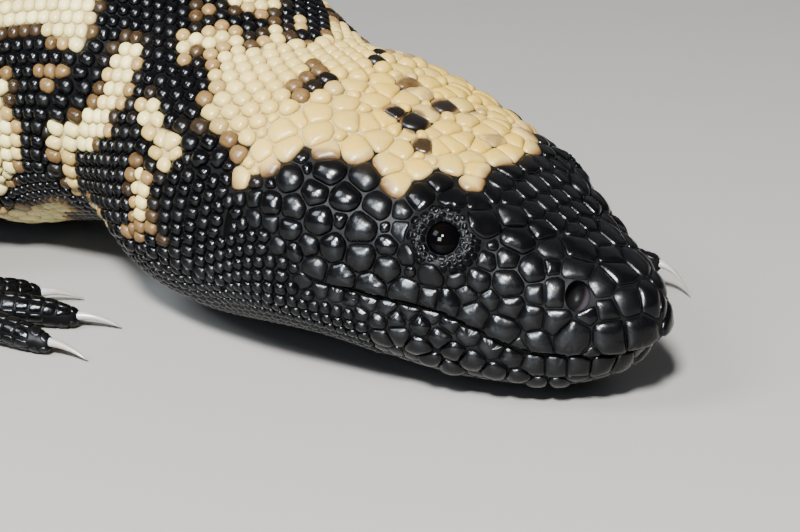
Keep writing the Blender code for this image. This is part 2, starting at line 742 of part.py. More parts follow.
def build_leg(name, leg, words, thickness):
    """Two lengths of a leg and its foot, each cut clear of what it grows from."""
    upper = limb_part(f"{name}_{words[0]}", leg.root, leg.bend, thickness[0])
    for start, end, sides in BODY_CUTS:
        apply_boolean(upper, body_part("trunk", start, end, sides, spread=GAP), "DIFFERENCE")
    lower = limb_part(f"{name}_{words[1]}", leg.bend, leg.wrist, thickness[1])
    apply_boolean(lower, limb_part("upper", leg.root, leg.bend, thickness[0], GAP), "DIFFERENCE")
    foot = build_foot(f"{name}_foot", leg)
    apply_boolean(foot, limb_part("lower", leg.bend, leg.wrist, thickness[1], GAP), "DIFFERENCE")


def main():
    """Builds every part of the body."""
    clear_scene()
    build_head()
    body_part("neck", NECK_START, TORSO_START, NECK_SIDES, "cream_skin")
    body_part("torso", TORSO_START, TAIL_START, TORSO_SIDES)
    body_part("tail_base", TAIL_START, TAIL_HALF, TAIL_SIDES, "cream_skin")
    body_part("tail_tip", TAIL_HALF, TAIL_LENGTH_END, TAIL_TIP_SIDES, tip=spine(TAIL_LENGTH_END + TAIL_TIP))
    for name, leg in LEGS.items():
        front = name.startswith("front")
        words = ("upper_arm", "forearm") if front else ("thigh", "shin")
        build_leg(name, leg, words, ARM_THICKNESS if front else HIND_THICKNESS)


main()
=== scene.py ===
"""Looks of a life-size gila monster that stands still with its head low.

One skin is lofted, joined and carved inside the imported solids. Bead scales, head shields and lids
are laid over it as closed meshes, each drawn up to the borders that it shares with its neighbours.
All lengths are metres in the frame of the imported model.
"""

import logging
import math
import random
from collections.abc import Iterator
from dataclasses import dataclass, field
from enum import Enum
from itertools import product

import bmesh
import bpy
import numpy as np
from mathutils import Matrix, Vector, kdtree, noise
from mathutils.bvhtree import BVHTree


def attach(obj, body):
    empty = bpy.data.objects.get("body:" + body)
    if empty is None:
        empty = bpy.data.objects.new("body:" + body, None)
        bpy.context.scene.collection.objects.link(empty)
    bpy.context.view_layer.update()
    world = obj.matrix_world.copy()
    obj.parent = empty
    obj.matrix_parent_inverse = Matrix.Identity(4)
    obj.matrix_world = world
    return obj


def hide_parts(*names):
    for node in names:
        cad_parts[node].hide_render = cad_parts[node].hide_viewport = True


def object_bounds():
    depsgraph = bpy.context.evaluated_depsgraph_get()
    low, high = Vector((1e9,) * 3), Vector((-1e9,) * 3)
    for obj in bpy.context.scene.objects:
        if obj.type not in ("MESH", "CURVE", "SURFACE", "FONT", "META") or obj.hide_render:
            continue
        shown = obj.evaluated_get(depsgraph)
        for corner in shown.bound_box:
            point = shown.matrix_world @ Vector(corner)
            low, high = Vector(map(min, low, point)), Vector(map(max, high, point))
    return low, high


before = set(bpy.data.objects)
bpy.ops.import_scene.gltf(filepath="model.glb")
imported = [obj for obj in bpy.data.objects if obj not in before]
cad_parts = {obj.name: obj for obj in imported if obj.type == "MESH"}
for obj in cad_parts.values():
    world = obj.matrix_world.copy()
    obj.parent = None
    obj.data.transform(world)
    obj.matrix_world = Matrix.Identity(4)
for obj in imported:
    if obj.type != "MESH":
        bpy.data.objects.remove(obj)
CAD_BOX = [list(corner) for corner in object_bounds()]

LOG = logging.getLogger("gila")
MM = 0.001
TURN = 2 * math.pi
PHOTO_SIZE = (800, 532)
# Where an eye sits: millimetres behind the snout and above the head's middle line
EYE = (22.5, 9.6)
# Row spacing of scales that lie in a hexagonal packing, as a share of their pitch
PACKED_ROWS = 0.866


def unit(vectors: np.ndarray) -> np.ndarray:
    """Vectors scaled to length one along their last axis."""
    length = np.linalg.norm(vectors, axis=-1, keepdims=True)
    return vectors / np.maximum(length, 1e-12)


def ease(value: np.ndarray, low: float, high: float) -> np.ndarray:
    """A smooth change from 0 at low to 1 at high.

    Args:
        value: Numbers of any shape.
        low: Where the change starts.
        high: Where it ends.

    Returns:
        Numbers of the same shape between 0 and 1.
    """
    t = np.clip((np.asarray(value, float) - low) / (high - low), 0.0, 1.0)
    return t * t * (3 - 2 * t)


def cross_axes(ahead: np.ndarray) -> tuple[np.ndarray, np.ndarray]:
    """Directions to the side and up, square to a direction ahead."""
    side = unit(np.cross(ahead, [0, 0, 1]))
    return side, np.cross(side, ahead)


def spoke(axes: tuple, turn: float) -> object:
    """The direction at an angle from the first of two axes towards the second."""
    return axes[0] * math.cos(turn) + axes[1] * math.sin(turn)


def deselect() -> None:
    """Leaves nothing selected."""
    bpy.ops.object.select_all(action="DESELECT")


def activate(piece: bpy.types.Object) -> None:
    """Makes one object the only selected and active one."""
    deselect()
    piece.select_set(True)
    bpy.context.view_layer.objects.active = piece


def link(name: str, data: object) -> bpy.types.Object:
    """A new object that shows some data, linked into the scene."""
    made = bpy.data.objects.new(name, data)
    bpy.context.scene.collection.objects.link(made)
    return made


def new_object(name: str, verts: list, faces: list) -> bpy.types.Object:
    """A linked mesh object from points and faces, which are turned outwards.

    Args:
        name: Name of the object and of its mesh.
        verts: Points in metres.
        faces: Tuples of point numbers.

    Returns:
        The object.
    """
    data = bpy.data.meshes.new(name)
    data.from_pydata([tuple(v) for v in verts], [], faces)
    mesh = bmesh.new()
    mesh.from_mesh(data)
    bmesh.ops.recalc_face_normals(mesh, faces=mesh.faces)
    mesh.to_mesh(data)
    mesh.free()
    return link(name, data)


def apply_modifier(piece: bpy.types.Object, kind: str, **settings: object) -> None:
    """Adds one modifier to a piece and applies it.

    Args:
        piece: The object.
        kind: Blender's name of the modifier's type.
        settings: Its properties.
    """
    activate(piece)
    modifier = piece.modifiers.new(kind.lower(), kind)
    for key, value in settings.items():
        setattr(modifier, key, value)
    bpy.ops.object.modifier_apply(modifier=modifier.name)


def read_points(data: bpy.types.Mesh, key: str = "co") -> np.ndarray:
    """The places or the normals of a mesh's points, one per row."""
    values = np.empty(len(data.vertices) * 3, np.float32)
    data.vertices.foreach_get(key, values)
    return values.reshape(-1, 3)


def write_points(data: bpy.types.Mesh, points: np.ndarray) -> None:
    """Moves a mesh's points."""
    data.vertices.foreach_set("co", points.astype(np.float32).ravel())
    data.update()


def write_attribute(data: bpy.types.Mesh, key: str, values: np.ndarray) -> None:
    """Keeps one number for each point in a mesh."""
    data.attributes.new(key, "FLOAT", "POINT").data.foreach_set("value", values.astype(np.float32))


def settle(piece: bpy.types.Object) -> None:
    """Puts an object's place, turn and size into its mesh."""
    activate(piece)
    bpy.ops.object.transform_apply(location=True, rotation=True, scale=True)


# The view


@dataclass(frozen=True)
class PhotoView:
    """The camera: its axes, its place, and its focal length in pixels of an 800 by 532 frame."""

    right: tuple = (0.88058492, 0.47387823, -0.00310088)
    up: tuple = (-0.15864352, 0.30095286, 0.94035079)
    back: tuple = (0.44654499, -0.8275668, 0.34019226)
    place: tuple = (0.266989, -0.242702, 0.102242)
    focal: float = 2119.0
    sensor: float = 36.0

    def project(self, points: np.ndarray) -> tuple[np.ndarray, np.ndarray]:
        """Pixels of points, and how many pixels a metre spans there.

        Args:
            points: An array of points, one per row.

        Returns:
            Pixels, two per row, and pixels per metre.
        """
        away = np.asarray(points) - np.array(self.place)
        depth = np.maximum(-(away @ np.array(self.back)), 1e-4)
        x = PHOTO_SIZE[0] / 2 + self.focal * (away @ np.array(self.right)) / depth
        y = PHOTO_SIZE[1] / 2 - self.focal * (away @ np.array(self.up)) / depth
        return np.stack([x, y], axis=-1), self.focal / depth

    def ray(self, x: float, y: float) -> tuple[Vector, Vector]:
        """The camera's place and the direction through a pixel."""
        direction = (
            Vector(self.right) * (x - PHOTO_SIZE[0] / 2) / self.focal
            - Vector(self.up) * (y - PHOTO_SIZE[1] / 2) / self.focal
            - Vector(self.back)
        )
        return Vector(self.place), direction.normalized()

    def make_camera(self) -> None:
        """Puts up the scene's camera."""
        data = bpy.data.cameras.new("camera")
        data.sensor_width = self.sensor
        data.lens = self.focal / PHOTO_SIZE[0] * self.sensor
        data.clip_start = 0.01
        data.clip_end = 20.0
        made = link("camera", data)
        turn = Matrix([self.right, self.up, self.back]).transposed().to_4x4()
        made.matrix_world = Matrix.Translation(self.place) @ turn
        bpy.context.scene.camera = made


# The body's form


@dataclass
class BodyForm:
    """Head, trunk and tail as sections along a bent middle line, in millimetres."""

    snout: tuple = (184.0, -24.8, 8.9)
    yaw: float = math.radians(-9.0)
    pitch: float = math.radians(-8.0)
    head_length: float = 55.0
    trunk_line: tuple = (
        (107.0, -6.0, 21.5), (86.0, 0.0, 25.5), (55.0, 0.0, 24.5), (0.0, 0.0, 22.5),
        (-85.0, 0.0, 21.0), (-110.0, -1.0, 17.5), (-153.0, 6.0, 15.5), (-196.0, 25.0, 12.8),
        (-232.0, 53.0, 8.0),
    )
    # Distance behind the snout, half width, rise, drop, squareness above and below
    sections: tuple = (
        (0.0, 0.9, 2.8, 0.6, 2.0, 2.0), (1.2, 4.2, 5.9, 1.6, 2.1, 2.0),
        (4.0, 7.2, 7.9, 5.8, 2.3, 2.2), (8.0, 9.8, 9.3, 8.4, 2.4, 2.5),
        (13.0, 12.4, 10.8, 9.7, 2.5, 2.6), (17.0, 14.2, 12.4, 10.4, 2.6, 2.6),
        (20.5, 15.9, 14.9, 11.0, 2.7, 2.6), (25.0, 17.4, 16.3, 11.2, 2.8, 2.6),
        (31.0, 19.8, 17.4, 10.4, 2.6, 2.5), (39.0, 22.4, 19.2, 10.8, 2.5, 2.2),
        (46.0, 23.4, 20.5, 12.8, 2.5, 2.2), (53.0, 22.4, 20.2, 15.0, 2.3, 2.1),
        (60.0, 22.4, 19.4, 17.1, 2.1, 2.1), (65.0, 23.0, 20.8, 17.8, 2.1, 2.1),
        (69.0, 22.6, 21.8, 17.6, 2.1, 2.0), (72.0, 21.0, 22.6, 14.6, 2.1, 1.9),
        (77.0, 22.0, 23.8, 14.0, 2.1, 1.9), (86.0, 24.8, 24.6, 17.4, 2.2, 2.2),
        (100.0, 27.0, 24.4, 23.2, 2.2, 2.6), (125.0, 29.4, 23.2, 23.2, 2.2, 2.5),
        (155.0, 31.8, 22.6, 23.4, 2.2, 2.5), (190.0, 33.6, 22.8, 23.6, 2.2, 2.6),
        (235.0, 32.6, 22.2, 22.6, 2.2, 2.5), (268.0, 26.6, 20.6, 20.6, 2.1, 2.3),
        (295.0, 19.6, 17.2, 17.0, 2.0, 2.1), (318.0, 18.4, 15.8, 15.6, 2.0, 2.1),
        (350.0, 17.0, 14.6, 15.2, 2.0, 2.1), (385.0, 14.2, 12.2, 13.0, 2.0, 2.1),
        (412.0, 10.4, 9.0, 10.0, 2.0, 2.1), (428.0, 6.6, 5.8, 6.6, 2.0, 2.0),
        (435.0, 2.6, 2.4, 2.6, 2.0, 2.0),
    )
    length: float = 435.0
    # Lengths of head and body that the unwrap spans
    head_unwrap: float = 70.0
    unwrap: float = 440.0

    def __post_init__(self) -> None:
        """Works out the head's axes and the middle line's points."""
        cos, sin = math.cos, math.sin
        self.forward = np.array([
            cos(self.pitch) * cos(self.yaw), cos(self.pitch) * sin(self.yaw), sin(self.pitch),
        ])
        self.left = unit(np.cross([0, 0, 1], self.forward))
        self.upward = np.cross(self.forward, self.left)
        head = [self.in_head(d, 0, 0) for d in (0, self.head_length / 2, self.head_length)]
        points = head + [np.array(p) for p in self.trunk_line]
        points.append(points[-1] * 2 - points[-2])
        self.knots = np.array(points)
        steps = np.linalg.norm(np.diff(self.knots, axis=0), axis=1)
        self.marks = np.concatenate([[0.0], np.cumsum(steps)])
        self.table = np.array(self.sections)

    def in_head(self, behind: float, left: float, up: float) -> np.ndarray:
        """A point of the head, in millimetres."""
        return np.array(self.snout) - self.forward * behind + self.left * left + self.upward * up

    def head_place(self, points: np.ndarray) -> np.ndarray:
        """Points in metres as distances behind, to the left and above the snout, in millimetres."""
        away = np.asarray(points) / MM - np.array(self.snout)
        return np.stack([-(away @ self.forward), away @ self.left, away @ self.upward], axis=-1)

    def head_sheet(self, place: Vector) -> tuple[float, float]:
        """Where a point of the head, in metres, lies on the unwrap."""
        behind, left, up = self.head_place(np.array([place]))[0]
        return behind / self.head_unwrap, math.atan2(up - 2.0, left) / TURN % 1.0

    def sheet(self, distance: float, angle: float) -> tuple[float, float]:
        """Where a point of the surface lies on the unwrap."""
        return distance / self.unwrap, (angle - math.pi / 2) / TURN % 1.0

    def spine(self, distance: float) -> np.ndarray:
        """The middle line's point at a distance behind the snout."""
        if distance <= self.head_length:
            return self.in_head(distance, 0, 0)
        knots, marks = self.knots, self.marks
        i = min(int(np.searchsorted(marks, distance, side="right")) - 1, len(knots) - 3)
        run = marks[i + 1] - marks[i]
        slope0 = (knots[i + 1] - knots[i - 1]) / (marks[i + 1] - marks[i - 1]) * run
        slope1 = (knots[i + 2] - knots[i]) / (marks[i + 2] - marks[i]) * run
        t = (distance - marks[i]) / run
        return (
            knots[i] * (2 * t**3 - 3 * t**2 + 1) + slope0 * (t**3 - 2 * t**2 + t)
            + knots[i + 1] * (-2 * t**3 + 3 * t**2) + slope1 * (t**3 - t**2)
        )

    def axes(self, distance: float) -> tuple[np.ndarray, np.ndarray]:
        """The directions to the left and up at a distance behind the snout."""
        ahead = unit(self.spine(max(distance - 4, 0)) - self.spine(distance + 4))
        left = unit(np.cross([0, 0, 1], ahead))
        return left, np.cross(ahead, left)

    def section(self, distance: float) -> np.ndarray:
        """Half width, rise, drop and both squarenesses, averaged over a short stretch."""
        reach = min(5.0, distance * 0.5, max(self.length - distance, 0))
        near = [distance + reach * k for k in (-1, -0.5, 0, 0.5, 1)]
        marks, values = self.table[:, 0], self.table[:, 1:].T
        return np.array([np.interp(near, marks, row).mean() for row in values])

    def ring(self, distance: float, angles: np.ndarray, spread: float) -> np.ndarray:
        """Points of the surface at one distance behind the snout.

        Args:
            distance: Millimetres behind the snout.
            angles: Angles from the left side, a quarter turn being the back.
            spread: How far outside the form the points lie, in millimetres.

        Returns:
            Points in millimetres, one per row.
        """
        half, rise, drop, square_up, square_low = self.section(distance)
        left, up = self.axes(distance)
        cos, sin = np.cos(angles), np.sin(angles)
        above = sin > 0
        square = np.where(above, square_up, square_low)
        height = np.where(above, rise, drop)
        out = np.sign(cos) * np.abs(cos) ** (2 / square) * (half + spread)
        lift = np.sign(sin) * np.abs(sin) ** (2 / square) * (height + spread)
        points = self.spine(distance) + out[:, None] * left + lift[:, None] * up
        points[:, 2] = np.maximum(points[:, 2], -spread)
        return points

    def angle_at(self, distance: float, up: float, side: int) -> float:
        """The angle of the surface point at a height above the middle line."""
        _, rise, drop, square_up, square_low = self.section(distance)
        height, square = (rise, square_up) if up > 0 else (drop, square_low)
        angle = math.copysign(math.asin(min(abs(up) / height, 1.0) ** (square / 2)), up)
        return angle if side > 0 else math.pi - angle

    def place(self, behind: float, up: float, side: int) -> Vector:
        """A surface point of the head in metres, on side 1 (left) or -1 (right)."""
        angle = np.array([self.angle_at(behind, up, side)])
        return Vector(self.ring(behind, angle, 0.0)[0] * MM)

    def outward(self, behind: float, up: float, side: int) -> tuple[Vector, Vector, Vector]:
        """Directions ahead, across and outwards at a surface point of the head."""
        here = self.place(behind, up, side)
        ahead = (self.place(behind - 0.5, up, side) - self.place(behind + 0.5, up, side)).normalized()
        across = (self.place(behind, up + 0.5, side) - self.place(behind, up - 0.5, side)).normalized()
        out = ahead.cross(across).normalized()
        if out.dot(here - Vector(self.spine(behind) * MM)) < 0:
            out = -out
        return ahead, out.cross(ahead).normalized(), out


@dataclass(frozen=True)
class Leg:
    """One leg: its joints, the foot's place and heading, and its digits, in millimetres."""

    name: str
    root: tuple
    bend: tuple
    wrist: tuple
    foot: tuple
    heading: float
    side: int
    digits: tuple
    thickness: tuple


ARM = ((20.0, 17.0, 14.0), (14.0, 13.4, 10.4))
HIND = ((24.0, 20.5, 16.4), (16.4, 15.0, 11.4))
RIGHT_FORE_DIGITS = (
    (52, 38, 20.5, 1.55), (24, 15, 25.6, 1.55), (-2, -6, 25.5, 1.55), (-34, -33, 24, 1.55),
    (-72, -72, 17.5, 1.55),
)
LEFT_FORE_DIGITS = (
    (55, 20, 17, 1.55), (25, 6, 21.5, 1.55), (0, -10, 22.5, 1.55), (-34, -33, 22.8, 4.6),
    (-78, -80, 16, 1.55),
)
HIND_DIGITS = (
    (55, 42, 19.5, 1.55), (26, 18, 25, 1.55), (0, -4, 28, 1.55), (-26, -27, 28, 1.55),
    (-68, -66, 20.5, 1.55),
)
LEGS = (
    Leg("front_right", (84, -18, 22), (62, -46, 23), (75, -48, 8), (83, -46, 2.6), 10, -1,
        RIGHT_FORE_DIGITS, ARM),
    Leg("front_left", (90, 17, 23), (115, 28, 15), (138, 11, 8), (146.6, 6.6, 2.6), -20, 1,
        LEFT_FORE_DIGITS, ARM),
    Leg("hind_right", (-78, -15, 19), (-60, -45, 20), (-82, -57, 8), (-77, -64, 2.6), -32, -1,
        HIND_DIGITS, HIND),
    Leg("hind_left", (-78, 15, 19), (-48, 42, 19), (-60, 60, 8), (-54, 66, 2.6), 28, 1,
        HIND_DIGITS, HIND),
)
LEG_WORDS = {"front": ("upper_arm", "forearm"), "hind": ("thigh", "shin")}


@dataclass
class LimbForm:
    """The form of one leg: two tapered lengths, a sole and five toes."""

    leg: Leg
    sole_size: tuple = (9.6, 8.6, 3.8)
    toe_thickness: tuple = (5.0, 4.7, 3.5)
    toe_root: float = 5.0
    knuckle: float = 0.55
    toe_arch: float = 0.9

    def lengths(self) -> list[tuple[np.ndarray, np.ndarray, tuple]]:
        """Start, end and thicknesses of the two lengths."""
        leg = self.leg
        joints = [np.array(p, float) for p in (leg.root, leg.bend, leg.wrist)]
        return [(joints[k], joints[k + 1], leg.thickness[k]) for k in range(2)]

    def toes(self) -> list[list[np.ndarray]]:
        """Root, knuckle and tip of each toe."""
        made = []
        leg = self.leg
        middle = np.array(leg.foot, float)
        for *angles, reach, height in leg.digits:
            turns = [math.radians(leg.heading - leg.side * angle) for angle in angles]
            root, tip = [
                middle + np.array([math.cos(t), math.sin(t), 0]) * far
                for t, far in zip(turns, (self.toe_root, reach))
            ]
            tip[2] = height
            knuckle = root + (tip - root) * self.knuckle
            knuckle[2] += self.toe_arch
            made.append([root, knuckle, tip])
        return made

    @staticmethod
    def radius(thickness: tuple, share: float) -> float:
        """Radius of a length at a share of its way, through three thicknesses."""
        first, middle, last = [t / 2 for t in thickness]
        t = share
        return first * (1 - t) * (1 - 2 * t) + middle * 4 * t * (1 - t) + last * t * (2 * t - 1)


@dataclass
class FleshMaker:
    """Builds the closed forms that the skin is joined from, each a little inside the solids."""

    body: BodyForm
    inset: float = 0.4
    ring_step: float = 1.1
    body_sides: int = 120
    limb_sides: int = 28
    cap_bows: tuple = (25, 50, 75)
    lid_ring: tuple = (3.15, 0.85)
    eye: tuple = EYE

    def loft(self, name: str, rings: list[np.ndarray], tips: tuple) -> bpy.types.Object:
        """A closed loft through rings of equal count, in millimetres, with a point at each end."""
        sides = len(rings[0])
        verts = [p * MM for ring in rings for p in ring] + [np.asarray(t) * MM for t in tips]
        faces = []
        for j in range(len(rings) - 1):
            for k in range(sides):
                n = (k + 1) % sides
                faces.append((j * sides + k, j * sides + n, (j + 1) * sides + n, (j + 1) * sides + k))
        last = (len(rings) - 1) * sides
        first_tip, last_tip = len(verts) - 2, len(verts) - 1
        for k in range(sides):
            n = (k + 1) % sides
            faces.append((first_tip, n, k))
            faces.append((last + k, last + n, last_tip))
        return new_object(name, verts, faces)

    def trunk(self) -> bpy.types.Object:
        """Head, neck, trunk and tail in one loft."""
        start, end = 0.25, self.body.length - 0.8
        distances = np.concatenate([
            np.array([start, 0.5, 0.8, 1.2, 1.8]), np.arange(2.5, end, self.ring_step), [end],
        ])
        angles = np.linspace(0, TURN, self.body_sides, endpoint=False)
        rings = [self.body.ring(d, angles, -self.inset) for d in distances]
        tips = (self.body.in_head(0.15, 0, 1.0), self.body.spine(end + 0.8))
        return self.loft("trunk", rings, tips)

    def tube(self, name: str, points: list[np.ndarray], radii: list[float]) -> bpy.types.Object:
        """A round-ended tube through points, with a radius at each."""
        first, last = unit(points[1] - points[0]), unit(points[-1] - points[-2])
        rings = self.cap(points[0], first, radii[0], -1)[::-1]
        for j, point in enumerate(points):
            before, after = points[max(j - 1, 0)], points[min(j + 1, len(points) - 1)]
            rings.append(self.circle(point, unit(after - before), radii[j]))
        rings += self.cap(points[-1], last, radii[-1], 1)
        return self.loft(name, rings, (points[0] - first * radii[0], points[-1] + last * radii[-1]))

    def cap(self, end: np.ndarray, ahead: np.ndarray, radius: float, way: int) -> list[np.ndarray]:
        """Rings of a round end, outwards, that lies ahead (way 1) or behind (way -1)."""
        bows = [math.radians(bow) for bow in self.cap_bows]
        return [
            self.circle(end + ahead * radius * math.sin(bow) * way, ahead, radius * math.cos(bow))
            for bow in bows
        ]

    def circle(self, middle: np.ndarray, ahead: np.ndarray, radius: float) -> np.ndarray:
        """Points of a circle square to a direction."""
        angles = np.linspace(0, TURN, self.limb_sides, endpoint=False)
        side, up = cross_axes(ahead)
        return middle + (np.cos(angles)[:, None] * side + np.sin(angles)[:, None] * up) * radius

    def limb(self, form: LimbForm) -> list[bpy.types.Object]:
        """The lengths, sole and toes of one leg."""
        pieces = []
        for start, end, thickness in form.lengths():
            shares = np.linspace(0, 1, 8)
            points = [start + (end - start) * t for t in shares]
            radii = [form.radius(thickness, t) - self.inset for t in shares]
            pieces.append(self.tube("length", points, radii))
        for root, knuckle, tip in form.toes():
            thickness = [t / 2 - self.inset * 0.6 for t in form.toe_thickness]
            shares = np.linspace(0, 1, 7)
            points = [
                (1 - t) ** 2 * root + 2 * t * (1 - t) * (knuckle * 2 - (root + tip) / 2) + t * t * tip
                for t in shares
            ]
            radii = list(np.interp(shares, (0, form.knuckle, 1), thickness))
            bulge = 0.16 * np.sin(shares * 3 * math.pi)
            pieces.append(self.tube("toe", points, [r + b for r, b in zip(radii, bulge)]))
        bpy.ops.mesh.primitive_uv_sphere_add(segments=32, ring_count=16, radius=1.0)
        sole = bpy.context.active_object
        sole.scale = [(s - self.inset) * MM for s in form.sole_size]
        sole.rotation_euler = (0, 0, math.radians(form.leg.heading))
        sole.location = [c * MM for c in form.leg.foot]
        settle(sole)
        pieces.append(sole)
        return pieces

    def lid(self, side: int) -> bpy.types.Object:
        """The raised ring of the lids round one eye."""
        _, _, out = self.body.outward(*self.eye, side)
        bpy.ops.mesh.primitive_torus_add(
            major_radius=self.lid_ring[0] * MM, minor_radius=self.lid_ring[1] * MM,
            major_segments=40, minor_segments=14,
        )
        ring = bpy.context.active_object
        ring.rotation_euler = out.to_track_quat("Z", "Y").to_euler()
        ring.location = self.body.place(*self.eye, side) - out * 0.35 * MM
        settle(ring)
        return ring


@dataclass
class Skin:
    """The skin: the flesh forms joined into one closed mesh, smoothed and carved."""

    maker: FleshMaker
    voxel: float = 0.92 * MM
    smooth_rounds: int = 4
    eye_radius: float = 3.2
    eye_depth: float = 2.74
    socket_gap: float = 0.12
    nostril: tuple = (7.4, 5.8)
    nostril_size: tuple = (1.5, 1.9, 2.6)
    nostril_sink: float = 0.4
    ear: tuple = (48.5, 4.5)
    ear_size: tuple = (0.6, 2.8, 1.4)
    ear_sink: float = 0.6
    mouth_line: tuple = (
        (-6.0, -0.3), (0.0, -0.3), (2.6, -0.9), (5.0, -1.5), (8.0, -2.0), (11.0, -2.1),
        (14.0, -1.4), (18.5, 0.1), (22.0, 1.0), (29.0, 1.05), (37.5, 1.2),
    )
    mouth_gap: float = 0.30
    jaw_press: float = 0.75
    lip_rise: float = 0.25
    piece: bpy.types.Object = None
    tree: BVHTree = None

    def build(self, limbs: list[LimbForm]) -> None:
        """Joins the forms, keeps the whole surface for laying scales, and then carves the face."""
        parts = [self.maker.trunk()]
        for form in limbs:
            parts += self.maker.limb(form)
        parts += [self.maker.lid(side) for side in (-1, 1)]
        deselect()
        for part in parts:
            part.select_set(True)
        bpy.context.view_layer.objects.active = parts[0]
        bpy.ops.object.join()
        self.piece = bpy.context.active_object
        self.piece.name = self.piece.data.name = "skin"
        apply_modifier(self.piece, "REMESH", mode="VOXEL", voxel_size=self.voxel)
        apply_modifier(self.piece, "SMOOTH", factor=0.5, iterations=self.smooth_rounds)
        self.level_floor()
        self.press_jaw()
        self.tree = self.make_tree()
        self.carve()
        activate(self.piece)
        bpy.ops.object.shade_smooth_by_angle(angle=math.radians(50))

    def level_floor(self) -> None:
        """Keeps the skin off the floor by the depth of the belly's scales."""
        points = read_points(self.piece.data)
        points[:, 2] = np.maximum(points[:, 2], self.maker.inset * MM)
        write_points(self.piece.data, points)

    def press_jaw(self) -> None:
        """Draws the lower lip in a little, so that the upper one stands over it."""
        data = self.piece.data
        points, normals = read_points(data), read_points(data, "normal")
        place = self.maker.body.head_place(points)
        line = np.array(self.mouth_line)
        below = np.interp(place[:, 0], line[:, 0], line[:, 1]) - place[:, 2]
        behind = place[:, 0]
        jaw = ease(below, -0.5, 0.4) * (1 - ease(below, 0.6, 3.4)) * (1 - ease(behind, 32.0, 40.0))
        lip = ease(below, -2.6, -1.2) * (1 - ease(below, -0.6, 0.0)) * (1 - ease(behind, 34.0, 40.0))
        points += normals * ((lip * self.lip_rise - jaw * self.jaw_press) * MM)[:, None]
        write_points(data, points)

    def make_tree(self) -> BVHTree:
        """A search tree of the skin as it is now."""
        mesh = bmesh.new()
        mesh.from_mesh(self.piece.data)
        tree = BVHTree.FromBMesh(mesh)
        mesh.free()
        return tree

    def cut(self, tool: bpy.types.Object) -> None:
        """Takes a closed form out of the skin."""
        apply_modifier(self.piece, "BOOLEAN", operation="DIFFERENCE", solver="MANIFOLD", object=tool)
        bpy.data.objects.remove(tool)

    def ball(self, place: tuple, side: int, sizes: tuple, sink: float) -> bpy.types.Object:
        """A ball with its own half sizes, laid square to the head's surface."""
        axes = self.maker.body.outward(*place, side)
        middle = self.maker.body.place(*place, side) - axes[2] * sink * MM
        bpy.ops.mesh.primitive_uv_sphere_add(segments=40, ring_count=24, radius=MM)
        tool = bpy.context.active_object
        turn = Matrix([axis * size for axis, size in zip(axes, sizes)]).transposed().to_4x4()
        tool.matrix_world = Matrix.Translation(middle) @ turn
        settle(tool)
        return tool

    def mouth_slab(self) -> bpy.types.Object:
        """A thin sheet along the mouth line, across the whole head."""
        body = self.maker.body
        behinds = np.linspace(self.mouth_line[0][0], self.mouth_line[-1][0], 60)
        ups = np.interp(behinds, *np.array(self.mouth_line).T)
        ups = np.convolve(np.pad(ups, 2, mode="edge"), np.ones(5) / 5, mode="valid")
        verts = []
        for side in (-40, 40):
            for behind, up in zip(behinds, ups):
                open_share = float(ease(behinds[-1] - behind, 0.0, 6.0))
                half = self.mouth_gap / 2 * open_share + 0.02
                verts.append(body.in_head(behind, side, up + half) * MM)
                verts.append(body.in_head(behind, side, up - half) * MM)
        faces = []
        far = 2 * len(behinds)
        for k in range(len(behinds) - 1):
            a, b, c, d = 2 * k, 2 * k + 1, 2 * k + 3, 2 * k + 2
            faces += [(a, b, c, d), (a + far, d + far, c + far, b + far)]
            faces += [(a, d, d + far, a + far), (b, b + far, c + far, c)]
        faces.append((0, far, far + 1, 1))
        end = far - 2
        faces.append((end, end + 1, end + 1 + far, end + far))
        return new_object("mouth", verts, faces)

    def carve(self) -> None:
        """Sockets, nostrils, ear slits and the line of the mouth."""
        self.cut(self.mouth_slab())
        socket = self.eye_radius + self.socket_gap
        for side in (-1, 1):
            self.cut(self.ball(self.maker.eye, side, (socket,) * 3, self.eye_depth))
            self.cut(self.ball(self.nostril, side, self.nostril_size, self.nostril_sink))
            self.cut(self.ball(self.ear, side, self.ear_size, self.ear_sink))


# Markings


